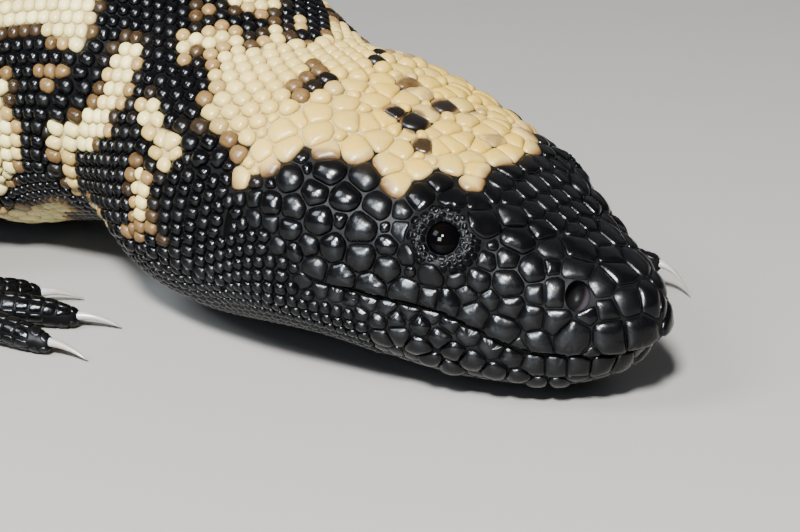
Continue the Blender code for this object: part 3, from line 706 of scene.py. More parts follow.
@dataclass
class Markings:
    """Cream patches on black: outlines seen in the view, mirrored, and a pattern for the rest."""

    view: PhotoView
    body: BodyForm
    crown: tuple = (
        (250, 48), (264, 40), (267, 28), (276, 23), (285, 27), (286, 38), (300, 43), (316, 45),
        (328, 34), (334, 18), (349, 12), (372, 24), (384, 46), (400, 50), (470, 78), (505, 100),
        (520, 125), (540, 145), (524, 161), (500, 164), (484, 172), (478, 188), (470, 187),
        (455, 176), (440, 172), (425, 180), (415, 186), (404, 197), (392, 190), (381, 172),
        (374, 158), (350, 160), (318, 158), (302, 150), (292, 158), (272, 168), (256, 176),
        (246, 192), (238, 192), (232, 175), (236, 158), (248, 144), (221, 138), (203, 127),
        (197, 107), (211, 90), (210, 66), (208, 46),
    )
    nape: tuple = (
        (176, 36), (187, 32), (208, 30), (216, 22), (228, 28), (246, 33), (248, 47), (225, 50),
        (208, 50), (196, 50), (194, 62), (180, 62), (176, 48),
    )
    nape_top: tuple = (
        (224, 2), (236, -14), (276, -20), (284, 4), (272, 13), (258, 18), (244, 9), (232, 10),
    )
    nape_bead: tuple = ((195, 8), (206, 5), (211, 12), (206, 19), (197, 18))
    shoulder: tuple = (
        (-40, -60), (110, -60), (100, 2), (94, 24), (90, 45), (80, 61), (66, 46), (51, 43),
        (41, 28), (12, 31), (-40, 36),
    )
    edge: tuple = (
        (-40, 60), (0, 66), (15, 80), (8, 93), (10, 113), (18, 123), (22, 149), (17, 179), (0, 196),
        (-40, 200),
    )
    blotch: tuple = (
        (123, 38), (144, 40), (143, 55), (136, 73), (131, 90), (128, 103), (116, 108), (109, 123),
        (114, 129), (98, 143), (93, 153), (80, 149), (73, 158), (75, 171), (80, 186), (78, 194),
        (70, 186), (55, 159), (50, 144), (50, 123), (75, 119), (83, 108), (100, 100), (103, 80),
        (111, 58),
    )
    small_blotch: tuple = (
        (146, 96), (158, 95), (161, 113), (166, 124), (179, 129), (179, 143), (187, 149),
        (174, 163), (167, 176), (163, 176), (154, 159), (151, 141), (144, 131), (138, 123),
        (136, 106),
    )
    strip: tuple = ((133, 161), (146, 162), (150, 190), (151, 216), (144, 230), (133, 214), (131, 186))
    chest: tuple = (
        (-40, 208), (0, 207), (25, 206), (50, 199), (62, 198), (74, 206), (90, 214), (84, 226),
        (60, 236), (-40, 240),
    )
    # Spots inside the crown's patch: pixel, half sizes and how dark
    spots: tuple = (
        (395, 112.5, 10, 6, 0.9), (415, 122, 13, 13, 1.0), (423, 146, 11, 8, 0.75),
        (408, 85, 12, 8, 0.6), (427, 97, 8, 5, 0.5), (444, 107, 14, 7, 0.85),
        (472, 113, 10, 3, 0.7), (493, 140, 10, 9, 0.4), (320, 69, 10, 9, 0.62),
        (317, 82, 12, 7, 0.95), (295, 92, 10, 8, 0.6), (378, 57, 9, 7, 1.0), (339, 87, 9, 6, 0.25),
        (217, 66, 8, 10, 0.25), (217, 85, 8, 9, 0.32), (205, 107, 9, 8, 0.2),
        (212, 128, 9, 7, 0.38), (372, 150, 8, 7, 0.35), (325, 155, 16, 8, 0.35),
    )
    # Brownish beads inside the black: pixel, half sizes and how cream
    stains: tuple = (
        (51, 76, 15, 10, 0.52), (139, 226, 13, 13, 0.50), (158, 228, 6, 8, 0.4),
        (165, 235, 5, 5, 0.3), (300, 26.5, 11, 7, 0.75), (365, 167, 10, 7, 0.7),
    )

    # Scale and shift of the broad and the fine noise, and a band's length on trunk and tail in mm
    broad_noise: tuple = (62, (3.1, 7.7, 1.3))
    fine_noise: tuple = (150, (9.2, 0.4, 5.5))
    trunk_band: float = 27.0
    tail_band: float = 25.0
    # How deep in the black the feet count as, and the most that a depth counts, in mm
    feet_depth: float = 4.0
    depth_limit: float = 8

    def outlines(self) -> list[np.ndarray]:
        """All patch outlines, in pixels."""
        named = (
            self.crown, self.nape, self.nape_top, self.nape_bead, self.shoulder, self.edge, self.blotch,
            self.small_blotch, self.strip, self.chest,
        )
        return [np.array(outline, float) for outline in named]

    @staticmethod
    def inside_depth(pixels: np.ndarray, outline: np.ndarray) -> np.ndarray:
        """How far pixels lie inside an outline, negative outside.

        Args:
            pixels: Two columns.
            outline: Corners of a closed outline.

        Returns:
            Signed distances in pixels.
        """
        x, y = pixels[:, 0], pixels[:, 1]
        nearest = np.full(len(pixels), 1e9)
        inside = np.zeros(len(pixels), bool)
        for a, b in zip(outline, np.roll(outline, -1, axis=0)):
            run = b - a
            t = np.clip(((pixels - a) @ run) / (run @ run), 0, 1)
            gap = pixels - (a + t[:, None] * run)
            nearest = np.minimum(nearest, np.hypot(gap[:, 0], gap[:, 1]))
            crosses = (a[1] > y) != (b[1] > y)
            with np.errstate(divide="ignore", invalid="ignore"):
                reach = a[0] + (y - a[1]) * (b[0] - a[0]) / (b[1] - a[1])
            inside ^= crosses & (x < reach)
        return np.where(inside, nearest, -nearest)

    @staticmethod
    def spot_reach(pixels: np.ndarray, middle: tuple, sizes: tuple) -> np.ndarray:
        """Distances of pixels from a spot's middle, 1 being its rim."""
        return np.hypot((pixels[:, 0] - middle[0]) / sizes[0], (pixels[:, 1] - middle[1]) / sizes[1])

    def seen(self, points: np.ndarray) -> tuple[np.ndarray, np.ndarray, np.ndarray]:
        """What the outlines say at points: depth in millimetres, darkness of spots, and trust.

        Args:
            points: Points in metres.

        Returns:
            Signed depth inside the patches, spot darkness, and 1 inside the frame fading to 0.
        """
        pixels, per_metre = self.view.project(points)
        depth = np.full(len(points), -1e9)
        for outline in self.outlines():
            depth = np.maximum(depth, self.inside_depth(pixels, outline))
        dark = np.zeros(len(points))
        for x, y, wide, high, amount in self.spots:
            reach = self.spot_reach(pixels, (x, y), (wide, high))
            dark = np.maximum(dark, amount * (1 - ease(reach, 0.8, 1.15)))
        trust = ease(pixels[:, 0], -25, 5) * ease(pixels[:, 1], -30, 0)
        depth = depth / per_metre / MM
        for x, y, wide, high, amount in self.stains:
            reach = self.spot_reach(pixels, (x, y), (wide, high))
            depth = np.maximum(depth, np.where(reach < 1, (amount - 0.5) * 1.5, -9))
        return depth, dark, trust

    def mirrored(self, points: np.ndarray) -> np.ndarray:
        """Points moved to the other side of the head's or the trunk's middle plane."""
        place = self.body.head_place(points)
        head = points - 2 * place[:, 1:2] * MM * self.body.left
        trunk = points * np.array([1.0, -1.0, 1.0])
        share = ease(place[:, 0], 55, 95)[:, None]
        return head * (1 - share) + trunk * share

    @staticmethod
    def cloud(points: np.ndarray, scale: float, shift: tuple) -> np.ndarray:
        """Noise at points, one number for each."""
        return np.array([noise.noise(Vector(p) * scale + Vector(shift)) for p in points])

    def pattern(self, points: np.ndarray) -> tuple[np.ndarray, np.ndarray]:
        """A net of blotches on the trunk and rings on the tail, as depths in mm, and where feet are."""
        stations = np.linspace(0, self.body.length, 146)
        line = np.array([self.body.spine(d) for d in stations]) * MM
        nearest = np.empty(len(points), int)
        for k in range(0, len(points), 20000):
            gap = points[k:k + 20000, None, :] - line[None, :, :]
            nearest[k:k + 20000] = np.argmin((gap**2).sum(-1), axis=1)
        distance = stations[nearest]
        off_line = np.linalg.norm(points - line[nearest], axis=1) / MM
        broad, fine = self.cloud(points, *self.broad_noise), self.cloud(points, *self.fine_noise)
        bands = np.cos(distance / self.trunk_band * TURN + 5.0 * broad + 0.6)
        trunk = 5.5 * (0.75 * bands + 1.5 * broad + 1.0 * fine + 0.10)
        tail = 5.0 * (np.cos(distance / self.tail_band * TURN + 1.4 * broad) + 0.9 * fine + 0.05)
        mixed = trunk + (tail - trunk) * ease(distance, 292, 306)
        limb = 4.0 * (1.9 * broad + 1.2 * fine - 0.45)
        on_limb = ease(off_line, 33.0, 39.0)
        feet = (1 - ease(points[:, 2] / MM, 5.0, 11.0)) * on_limb
        return mixed * (1 - on_limb) + limb * on_limb, feet

    def cream(
        self, points: np.ndarray, normals: np.ndarray, width: np.ndarray,
    ) -> tuple[np.ndarray, np.ndarray]:
        """How cream the surface is at points, and how dark the spots on it are.

        Args:
            points: Points in metres.
            normals: Their outward directions.
            width: Width of the change from black to cream, in millimetres.

        Returns:
            Numbers from 0, black, to 1, cream, and the spots' darkness from 0 to 1.
        """
        to_view = unit(np.array(self.view.place) - points)
        facing = ease((to_view * normals).sum(-1), 0.0, 0.22)
        both_sides = zip(self.seen(points), self.seen(self.mirrored(points)))
        depth, dark, trust = (near * facing + other * (1 - facing) for near, other in both_sides)
        pattern, feet = self.pattern(points)
        depth = np.clip(depth, -self.depth_limit, self.depth_limit) * trust + pattern * (1 - trust)
        depth = depth * (1 - feet) - self.feet_depth * feet
        return np.clip(0.5 + depth / width, 0, 1), dark


# Scales


@dataclass(frozen=True)
class Opening:
    """An eye, nostril or ear, which scales end at: its middle, axes and half sizes in metres."""

    middle: Vector
    ahead: Vector
    across: Vector
    sizes: tuple

    def radius(self, toward: np.ndarray) -> np.ndarray:
        """Its radius in some directions, given as rows."""
        x = toward @ np.array(self.ahead) / self.sizes[0]
        y = toward @ np.array(self.across) / self.sizes[1]
        return 1 / np.sqrt(np.maximum(x * x + y * y, 1e-9))


@dataclass
class Face:
    """What the scales of the head keep clear of: eyes, nostrils, ear slits and the mouth line."""

    body: BodyForm
    skin: Skin
    eye_opening: float = 1.92
    mouth_reach: float = 6.0
    mouth_end: float = 37.0
    mouth_clear: float = 0.2
    # Least distance to a border and share of a scale's radius that stays clear of one
    least_border: float = 0.15 * MM
    clear_share: float = 0.55

    def __post_init__(self) -> None:
        """Finds the openings once, because they are asked for often."""
        self.kept = self.openings()

    def openings(self) -> list[Opening]:
        """The openings of both sides."""
        made = []
        nostril = tuple(s * 0.98 for s in self.skin.nostril_size[:2])
        ear = tuple(s * 0.9 for s in self.skin.ear_size[:2])
        eye = (self.eye_opening,) * 2
        kinds = ((self.skin.maker.eye, eye), (self.skin.nostril, nostril), (self.skin.ear, ear))
        for side in (-1, 1):
            for place, sizes in kinds:
                ahead, across, _ = self.body.outward(*place, side)
                middle = self.body.place(*place, side)
                made.append(Opening(middle, ahead, across, tuple(s * MM for s in sizes)))
        return made

    def above_mouth(self, points: np.ndarray) -> tuple[np.ndarray, np.ndarray]:
        """Heights above the mouth line in millimetres, and whether the line runs there."""
        place = self.body.head_place(points)
        line = np.array(self.skin.mouth_line)
        height = place[:, 2] - np.interp(place[:, 0], line[:, 0], line[:, 1])
        return height, (place[:, 0] < self.mouth_end) & (np.abs(height) < self.mouth_reach)

    def borders(
        self, centre: np.ndarray, ahead: np.ndarray, across: np.ndarray,
    ) -> tuple[np.ndarray, np.ndarray]:
        """Directions and distances of what lies round some scales, besides their neighbours.

        Args:
            centre: The scales' middles, in metres.
            ahead: One direction in each scale's plane.
            across: The other.

        Returns:
            Angles and distances, one column for each opening and one for the mouth.
        """
        angles, reaches = [], []
        for opening in self.kept:
            away = np.array(opening.middle) - centre
            far = np.linalg.norm(away, axis=1)
            border = far - opening.radius(unit(away)) - 0.05 * MM
            near = far < 9 * MM
            angles.append(np.arctan2((away * across).sum(-1), (away * ahead).sum(-1)))
            reaches.append(np.where(near, np.maximum(border, self.least_border), 1.0))
        height, near = self.above_mouth(centre)
        down = -np.sign(height)[:, None] * self.body.upward
        x, y = (down * ahead).sum(-1), (down * across).sum(-1)
        slope = np.maximum(np.hypot(x, y), 0.3)
        border = (np.abs(height) - self.mouth_clear) / slope * MM
        angles.append(np.arctan2(y, x))
        reaches.append(np.where(near, np.maximum(border, self.least_border), 1.0))
        return np.stack(angles, axis=1), np.stack(reaches, axis=1)

    def clear(self, point: Vector, size: float) -> bool:
        """Whether a scale of some radius fits at a point."""
        spot = np.array([point])
        height, near = self.above_mouth(spot)
        spare = size * self.clear_share
        if near[0] and abs(height[0]) * MM < self.mouth_clear * MM + spare:
            return False
        for opening in self.kept:
            away = spot - np.array(opening.middle)
            far = float(np.linalg.norm(away))
            if far < 6 * MM and far < float(opening.radius(unit(away))[0]) + spare:
                return False
        return True


class Coat(Enum):
    """The joined meshes that the scales are kept in."""

    HEAD = "coat_head"
    LIDS = "coat_eyelids"
    NECK = "coat_neck"
    FRONT = "coat_trunk_front"
    REAR = "coat_trunk_rear"
    TAIL = "coat_tail"
    FRONT_RIGHT = "coat_front_right_leg"
    FRONT_LEFT = "coat_front_left_leg"
    HIND_RIGHT = "coat_hind_right_leg"
    HIND_LEFT = "coat_hind_left_leg"


@dataclass(frozen=True)
class Cut:
    """How a kind of scale is shaped.

    Attributes:
        rise: Height of the dome as a share of its radius.
        flat: Power of the dome's curve, higher for a flatter top.
        gap: Distance from its neighbours in millimetres.
        corner: Power that joins its borders, higher for sharper corners.
        sides: Points in each ring of the mesh.
        rings: Sizes of the rings as shares of the outline.
        reach: Farthest border as a share of the seed's radius.
    """

    rise: float
    flat: float
    gap: float
    corner: float
    sides: int
    rings: tuple
    reach: float


BEAD_RINGS = (1.0, 0.88, 0.55)
NEAR_RINGS = (1.0, 0.93, 0.74, 0.42)
SHIELD_RINGS = (1.0, 0.965, 0.87, 0.68, 0.4)

BEAD = Cut(0.72, 2.1, 0.0, 6.5, 10, BEAD_RINGS, 1.5)
NEAR_BEAD = Cut(0.80, 2.1, 0.0, 6.5, 14, NEAR_RINGS, 1.7)
THROAT_BEAD = Cut(0.66, 2.1, 0.0, 6.5, 10, BEAD_RINGS, 1.5)
TOE_PLATE = Cut(0.16, 2.6, 0.0, 14.0, 14, NEAR_RINGS, 2.6)
BELLY_PLATE = Cut(0.15, 3.0, 0.06, 14.0, 12, BEAD_RINGS, 1.8)
DOME = Cut(0.52, 2.2, 0.0, 8.5, 28, SHIELD_RINGS, 1.7)
BROW_SHIELD = Cut(0.36, 2.2, 0.0, 9.0, 28, SHIELD_RINGS, 1.5)
CHEEK_SHIELD = Cut(0.46, 2.2, 0.0, 12.0, 28, SHIELD_RINGS, 2.4)
CROWN_SHIELD = Cut(0.42, 2.2, 0.0, 10.0, 24, SHIELD_RINGS, 2.2)
FLAT_SHIELD = Cut(0.28, 2.3, 0.0, 18.0, 32, SHIELD_RINGS, 2.8)
LIP_SHIELD = Cut(0.36, 2.2, 0.0, 22.0, 32, SHIELD_RINGS, 3.0)
GRANULE = Cut(0.55, 2.2, 0.0, 7.0, 12, BEAD_RINGS, 1.6)
LID_GRANULE = Cut(0.34, 2.2, 0.0, 14.0, 12, NEAR_RINGS, 1.6)
LID_RIM = Cut(0.24, 2.2, 0.0, 18.0, 14, NEAR_RINGS, 2.4)
HEAD_FILL = Cut(0.24, 2.5, 0.0, 18.0, 20, NEAR_RINGS, 3.0)


@dataclass
class Seed:
    """One scale before it is shaped: where it sits, its radius, its cut and its sheet place."""

    place: Vector
    size: float
    cut: Cut
    coat: Coat
    sheet: tuple
    fixed: bool = False


@dataclass
class HeadShields:
    """Head shields read in the view, as pixel, width and height, and laid on both sides."""

    view: PhotoView
    body: BodyForm
    domes: tuple = (
        (289.6, 177.4, 29, 28), (315, 192.7, 26, 27), (344.7, 198, 28, 31), (328, 171, 40, 24),
        (294, 207, 22, 27), (320, 220, 31, 26), (361, 228, 37, 27), (332.5, 247, 26, 25),
        (361.6, 256, 32, 25), (386, 268, 26, 22), (377, 206, 26, 25), (365, 177, 26, 27),
        (309, 245.5, 18, 22), (290, 229, 19, 23), (270.5, 204, 20, 29), (270, 222.6, 14, 20),
        (255, 219, 13, 22), (255, 198, 12, 22), (279, 247, 14, 19), (294, 252, 17, 19),
        (315, 267, 20, 22), (386, 245, 22, 18), (402, 210, 16, 16), (301, 157, 12, 13),
    )
    brows: tuple = (
        (421, 197, 31, 19), (452, 201, 29, 20), (481, 224, 34, 27), (440, 183, 28, 12),
    )
    cheeks: tuple = (
        (407, 256, 12, 20), (431, 272, 31, 14), (457, 279, 19, 12), (478, 281, 23, 17),
        (487, 261, 13, 17), (508, 258, 19, 18), (517, 240, 33, 23), (533, 268, 22, 27),
        (551.5, 266, 13, 15), (508, 284, 28, 22), (536, 294, 16, 19), (513, 216, 31, 17),
        (541, 229, 26, 14),
    )
    nasals: tuple = (
        (556, 294, 21, 32), (578, 270, 31, 20), (603, 283, 25, 26), (608, 310, 22, 17),
        (581, 249, 36, 20), (611, 256, 24, 20), (629, 299, 21, 44), (638, 262, 22, 22),
        (649, 297, 18, 38),
    )
    upper_lips: tuple = (
        (341, 277, 28, 18), (371, 285, 29, 20), (404, 292, 30, 18), (429.5, 299, 15, 17),
        (447.5, 304, 23, 22), (474, 315, 28, 23), (502.5, 331, 37, 26), (537.5, 344, 30, 22),
        (572.5, 337, 35, 35), (610, 338, 37, 32), (637, 333, 25, 28), (466, 295, 22, 14),
        (490, 300, 21, 13), (511, 307, 28, 17), (532, 318, 28, 19), (556, 322, 30, 20),
    )
    lower_lips: tuple = (
        (321, 290, 15, 11), (336, 294, 15, 11), (351, 299, 15, 11), (368, 303, 17, 11),
        (387, 307, 18, 11), (410, 311, 20, 11), (431, 316, 20, 11), (449, 324, 19, 14),
        (468, 335, 24, 15), (491, 348, 21, 18), (511, 358, 19, 17), (534, 366, 21, 16),
        (556, 367, 22, 15), (579, 368, 23, 17), (602.5, 367, 23, 18), (622.5, 364, 19, 18),
        (638, 357, 15, 16),
    )
    jaw: tuple = (
        (396, 320, 19, 14), (421, 325, 28, 15), (399, 335, 22, 18), (440, 337, 25, 17),
        (418, 346, 22, 19), (454, 351, 22, 19), (472.5, 361, 25, 20), (495, 371, 21, 18),
        (517.5, 376, 20, 14), (537.5, 381, 20, 10), (559, 381.5, 21, 9), (582, 382, 24, 8),
        (430, 359, 21, 15), (451, 367, 22, 14), (473, 378, 24, 10), (382, 337, 20, 14),
        (378, 322, 17, 14), (361, 314, 16, 13), (605, 378, 20, 8),
    )
    crown: tuple = (
        (241, 177, 15, 22), (262, 151, 22, 20), (289, 149, 32, 24), (283, 131, 34, 20),
        (315, 115, 36, 17), (349, 121, 36, 16), (319, 133, 36, 20), (356, 149, 34, 24),
        (328, 152, 32, 18), (379, 140, 27, 20), (347, 104, 27, 13), (388, 165, 28, 20),
        (395, 184, 26, 22), (407, 99, 28, 14), (415, 122, 20, 18), (395, 112, 20, 12),
        (423, 146, 22, 16), (408, 84, 20, 13), (444, 107, 26, 14), (427, 96, 20, 11),
        (464, 140, 28, 20), (468, 122, 24, 14), (496, 128, 26, 14), (498, 158, 28, 15),
        (452, 163, 26, 16), (476, 168, 22, 14), (493, 140, 22, 14), (440, 128, 20, 16),
        (402, 150, 22, 20), (418, 168, 20, 18), (382, 120, 24, 15), (376, 101, 24, 12),
        (440, 148, 20, 16), (517, 141, 20, 14), (432, 76, 24, 12), (460, 90, 24, 12),
        (487, 103, 24, 12), (508, 117, 22, 12), (382, 80, 22, 12), (355, 87, 20, 13),
        (300, 120, 20, 15), (510, 172, 22, 12), (474, 185, 22, 12),
    )
    lean_limit: float = 0.38

    def groups(self) -> list[tuple[tuple, Cut]]:
        """Each list of shields with its cut."""
        return [
            (self.domes, DOME), (self.brows, BROW_SHIELD), (self.cheeks, CHEEK_SHIELD),
            (self.nasals, FLAT_SHIELD), (self.upper_lips, LIP_SHIELD), (self.lower_lips, LIP_SHIELD),
            (self.jaw, DOME), (self.crown, CROWN_SHIELD),
        ]

    def seeds(self, tree: BVHTree) -> list[Seed]:
        """The shields of both sides of the head.

        Args:
            tree: The skin's search tree.

        Returns:
            Seeds that the later ones keep clear of.
        """
        made = []
        for shields, cut in self.groups():
            for x, y, wide, high in shields:
                origin, direction = self.view.ray(x, y)
                place, normal, _, _ = tree.ray_cast(origin, direction)
                if place is None:
                    continue
                lean = max(-normal.dot(direction), self.lean_limit)
                scale = self.view.focal / (place - origin).dot(-Vector(self.view.back))
                size = 0.5 * math.sqrt(wide * high / lean) / scale
                made.append(self.seed(place, size, cut))
                head = self.body.head_place(np.array([place]))[0]
                if abs(head[1]) < size / MM * 0.6:
                    continue
                twin = place - Vector(self.body.left) * 2 * float(head[1]) * MM
                spot = tree.find_nearest(twin)[0]
                made.append(self.seed(spot, size, cut))
        return made

    def seed(self, place: Vector, size: float, cut: Cut) -> Seed:
        """One fixed seed with its place on the head's unwrap."""
        return Seed(place, size, cut, Coat.HEAD, self.body.head_sheet(place), True)


def seed_tree(seeds: list[Seed]) -> kdtree.KDTree:
    """A search tree of seeds' places."""
    tree = kdtree.KDTree(len(seeds))
    for k, seed in enumerate(seeds):
        tree.insert(seed.place, k)
    tree.balance()
    return tree


@dataclass
class ScaleLayer:
    """Lays the seeds of all scales: rows round the body, rings round the eyes, rows on the limbs."""

    body: BodyForm
    tree: BVHTree
    face: Face
    cell: float = 5 * MM
    # Radius, count, scale radius and phase of each ring of granules round an eye
    lid_rings: tuple = (
        (2.22, 13, 0.42, 0.0), (2.88, 24, 0.33, 0.5), (3.5, 26, 0.38, 0.0), (4.2, 27, 0.44, 0.5),
    )
    rim_radius: float = 2.5
    limb_pitches: tuple = (2.7, 2.3)
    toe_pitch: float = 1.8
    toe_around: int = 7
    sole_rings: int = 7
    sole_step: float = 1.5
    relax_near: int = 8
    relax_strength: float = 0.32
    hole_step: float = 0.7
    seeds: list = field(default_factory=list)
    grid: dict = field(default_factory=dict)

    def key(self, place: Vector) -> tuple[int, ...]:
        """The cell of the grid that a place lies in."""
        return tuple(math.floor(c / self.cell) for c in place)

    def around(self, place: Vector) -> Iterator[Seed]:
        """The seeds in the cells round a place."""
        x, y, z = self.key(place)
        for dx, dy, dz in product((-1, 0, 1), repeat=3):
            yield from self.grid.get((x + dx, y + dy, z + dz), ())

    def file(self, seed: Seed) -> None:
        """Puts a seed into its cell of the grid."""
        self.grid.setdefault(self.key(seed.place), []).append(seed)

    def add(self, seed: Seed, clearance: float = 0.80, reach: float = 1.6 * MM) -> None:
        """Snaps a seed to the skin and keeps it where there is room.

        Args:
            seed: The new seed.
            clearance: Share of both radii that has to lie between two seeds.
            reach: How far the skin may be.
        """
        spot, _, _, far = self.tree.find_nearest(seed.place)
        if spot is None or far > reach:
            return
        seed.place = spot
        for other in self.around(spot):
            if (other.place - spot).length < clearance * (other.size + seed.size):
                return
        if seed.coat is Coat.HEAD and not seed.fixed and not self.face.clear(spot, seed.size):
            return
        self.seeds.append(seed)
        self.file(seed)

    def eye_rings(self, eye: tuple) -> None:
        """Granules on the lids, a little uneven."""
        draw = random.Random(7)
        for side in (-1, 1):
            ahead, across, out = self.body.outward(*eye, side)
            middle = self.body.place(*eye, side)
            for radius, count, size, phase in self.lid_rings:
                on_rim = radius < self.rim_radius
                cut, clearance = (LID_RIM, 0.6) if on_rim else (LID_GRANULE, 0.78)
                for k in range(count):
                    turn = TURN * (k + phase + draw.uniform(-0.2, 0.2)) / count
                    far = radius + draw.uniform(-0.1, 0.1)
                    place = middle + spoke((ahead, across), turn) * far * MM + out * 0.4 * MM
                    grain = size * draw.uniform(0.8, 1.1) * MM
                    seed = Seed(place, grain, cut, Coat.LIDS, self.body.head_sheet(place), True)
                    self.add(seed, clearance, 2.5 * MM)

    def body_rows(
        self, start: float, end: float, pitch: tuple, zone: tuple, cut: Cut, coat: Coat,
        stretch: float = PACKED_ROWS, clearance: float = 0.80,
    ) -> None:
        """Rows of scales round a length of the body.

        Args:
            start: First distance behind the snout, in millimetres.
            end: Last distance.
            pitch: Pitch at the start and at the end.
            zone: Lowest and highest sine of the angle round the body.
            cut: Shape of the scales.
            coat: Mesh they belong to.
            stretch: Row spacing as a share of the pitch.
            clearance: Share of both radii that has to lie between two scales.
        """
        angles = np.linspace(math.pi / 2, math.pi / 2 + TURN, 721)
        distance, row = start, 0
        while distance < end:
            share = (distance - start) / (end - start)
            step = pitch[0] + (pitch[1] - pitch[0]) * share
            ring = self.body.ring(distance, angles, -0.2)
            arc = np.concatenate([[0.0], np.cumsum(np.linalg.norm(np.diff(ring, axis=0), axis=1))])
            around = arc[-1]
            count = int(around / 2 / step)
            offset = 0.5 * (row % 2)
            for k in range(-count, count + 1):
                along = ((k + offset) * step) % around
                angle = float(np.interp(along, arc, angles))
                if not zone[0] <= math.sin(angle) <= zone[1]:
                    continue
                spot = [float(np.interp(along, arc, ring[:, c])) * MM for c in range(3)]
                sheet = self.body.sheet(distance, angle)
                self.add(Seed(Vector(spot), step / 2 * MM, cut, coat, sheet), clearance)
            distance += step * stretch
            row += 1

    def limb_rows(self, form: LimbForm, coat: Coat) -> None:
        """Scales of one leg: rows round its lengths, its toes and its sole."""
        for part, (length, pitch) in enumerate(zip(form.lengths(), self.limb_pitches)):
            self.tube_rows(length, pitch, coat, 0.1 + 0.3 * part)
        for number, toe in enumerate(form.toes()):
            self.toe_plates(form, toe, coat, 0.65 + number * 0.06)
        middle = np.array(form.leg.foot)
        for ring in range(1, self.sole_rings + 1):
            count = 6 * ring
            for k in range(count):
                turn = TURN * k / count
                out = [c * ring * self.sole_step for c in (math.cos(turn), math.sin(turn))]
                for height, cut in ((6.0, TOE_PLATE), (-2.0, BELLY_PLATE)):
                    spot = middle + np.array([*out, height])
                    sheet = (0.5 + ring * 0.01, k / count)
                    self.add(Seed(Vector(spot * MM), 0.95 * MM, cut, coat, sheet), reach=5 * MM)

    def tube_rows(self, tube: tuple, pitch: float, coat: Coat, sheet_row: float) -> None:
        """Rows of beads round one tapered length, past its ends by a radius.

        Args:
            tube: The length's start, end and thicknesses, in millimetres.
            pitch: Distance between beads, in millimetres.
            coat: Mesh the beads belong to.
            sheet_row: Their place on the unwrap.
        """
        start, end, thickness = tube
        first, last = thickness[0] / 2, thickness[-1] / 2
        ahead = unit(end - start)
        axes = cross_axes(ahead)
        length = float(np.linalg.norm(end - start))
        travel, row = -first * 0.9, 0
        while travel < length + last:
            inside = min(max(travel / length, 0.0), 1.0)
            radius = LimbForm.radius(thickness, inside)
            over = max(-travel / first, (travel - length) / last, 0.0)
            radius *= math.sqrt(max(1 - over * over, 0.02))
            count = max(int(round(TURN * radius / pitch)), 1)
            for k in range(count):
                turn = TURN * (k + 0.5 * (row % 2)) / count
                spot = start + ahead * travel + spoke(axes, turn) * radius
                sheet = (sheet_row + 0.25 * inside, (k + 0.5) / count)
                self.add(Seed(Vector(spot * MM), pitch / 2 * MM, BEAD, coat, sheet))
            travel += pitch * PACKED_ROWS
            row += 1

    def toe_plates(self, form: LimbForm, points: tuple, coat: Coat, sheet_row: float) -> None:
        """Wide plates in line along a toe, one on top and two down each side.

        Args:
            form: The leg's form.
            points: The toe's root, knuckle and tip.
            coat: Mesh the plates belong to.
            sheet_row: Their place on the unwrap.
        """
        root, knuckle, tip = points
        radii = [t / 2 for t in form.toe_thickness]
        first, second = np.linalg.norm(knuckle - root), np.linalg.norm(tip - knuckle)
        length = first + second
        ahead = unit(tip - root)
        axes = cross_axes(ahead)
        travel = 0.0
        while travel < length + radii[2] * 0.8:
            share = min(travel, length)
            middle = root + (knuckle - root) * min(share / first, 1.0)
            middle = middle + (tip - knuckle) * max((share - first) / second, 0.0)
            over = max((travel - length) / radii[2], 0.0)
            radius = float(np.interp(share, (0, first, length), radii)) * math.sqrt(1 - over * over)
            for k in range(self.toe_around):
                turn = TURN * (0.25 + k / self.toe_around)
                spot = middle + ahead * (travel - share) + spoke(axes, turn) * radius
                sheet = (sheet_row + 0.05 * travel / length, (k + 0.5) / self.toe_around)
                self.add(Seed(Vector(spot * MM), 1.1 * MM, TOE_PLATE, coat, sheet, True), 0.6)
            travel += self.toe_pitch

    def room_at(self, place: Vector) -> float:
        """How far the nearest scale's edge is from a point, up to one cell."""
        gaps = [(other.place - place).length - 0.95 * other.size for other in self.around(place)]
        return min([self.cell, *gaps])

    def fill_holes(self, start: float, end: float, sizes: tuple, cut: Cut, coat: Coat) -> None:
        """Puts a scale into each hole that the rows left, the largest holes first.

        Args:
            start: First distance behind the snout, in millimetres.
            end: Last distance.
            sizes: Smallest and largest radius, in millimetres.
            cut: Shape of the scales.
            coat: Mesh they belong to.
        """
        self.grid.clear()
        for seed in self.seeds:
            self.file(seed)
        angles = np.linspace(0, TURN, 200, endpoint=False)
        holes = []
        for distance in np.arange(start, end, self.hole_step):
            for angle, spot in zip(angles, self.body.ring(distance, angles, -0.2)):
                place = self.tree.find_nearest(Vector(spot * MM))[0]
                room = self.room_at(place)
                if room > sizes[0] * MM:
                    holes.append((room, place, self.body.sheet(distance, angle)))
        holes.sort(key=lambda hole: -hole[0])
        for _, place, sheet in holes:
            room = self.room_at(place)
            if room > sizes[0] * MM:
                self.add(Seed(place, min(room, sizes[1] * MM), cut, coat, sheet), 0.5)

    def relax(self, rounds: int) -> None:
        """Evens out the distances between free seeds, keeping them on the skin."""
        for _ in range(rounds):
            tree = seed_tree(self.seeds)
            moves = []
            for k, seed in enumerate(self.seeds):
                push = Vector((0, 0, 0))
                if not seed.fixed:
                    for co, index, far in tree.find_n(seed.place, self.relax_near):
                        want = seed.size + self.seeds[index].size
                        if index != k and far < want:
                            strength = (want - far) / max(far, 1e-6) * self.relax_strength
                            push += (seed.place - co) * strength
                moves.append(push)
            for seed, push in zip(self.seeds, moves):
                limit = seed.size * 0.5
                if push.length > limit:
                    push = push.normalized() * limit
                if push.length_squared > 0:
                    seed.place = self.tree.find_nearest(seed.place + push)[0]

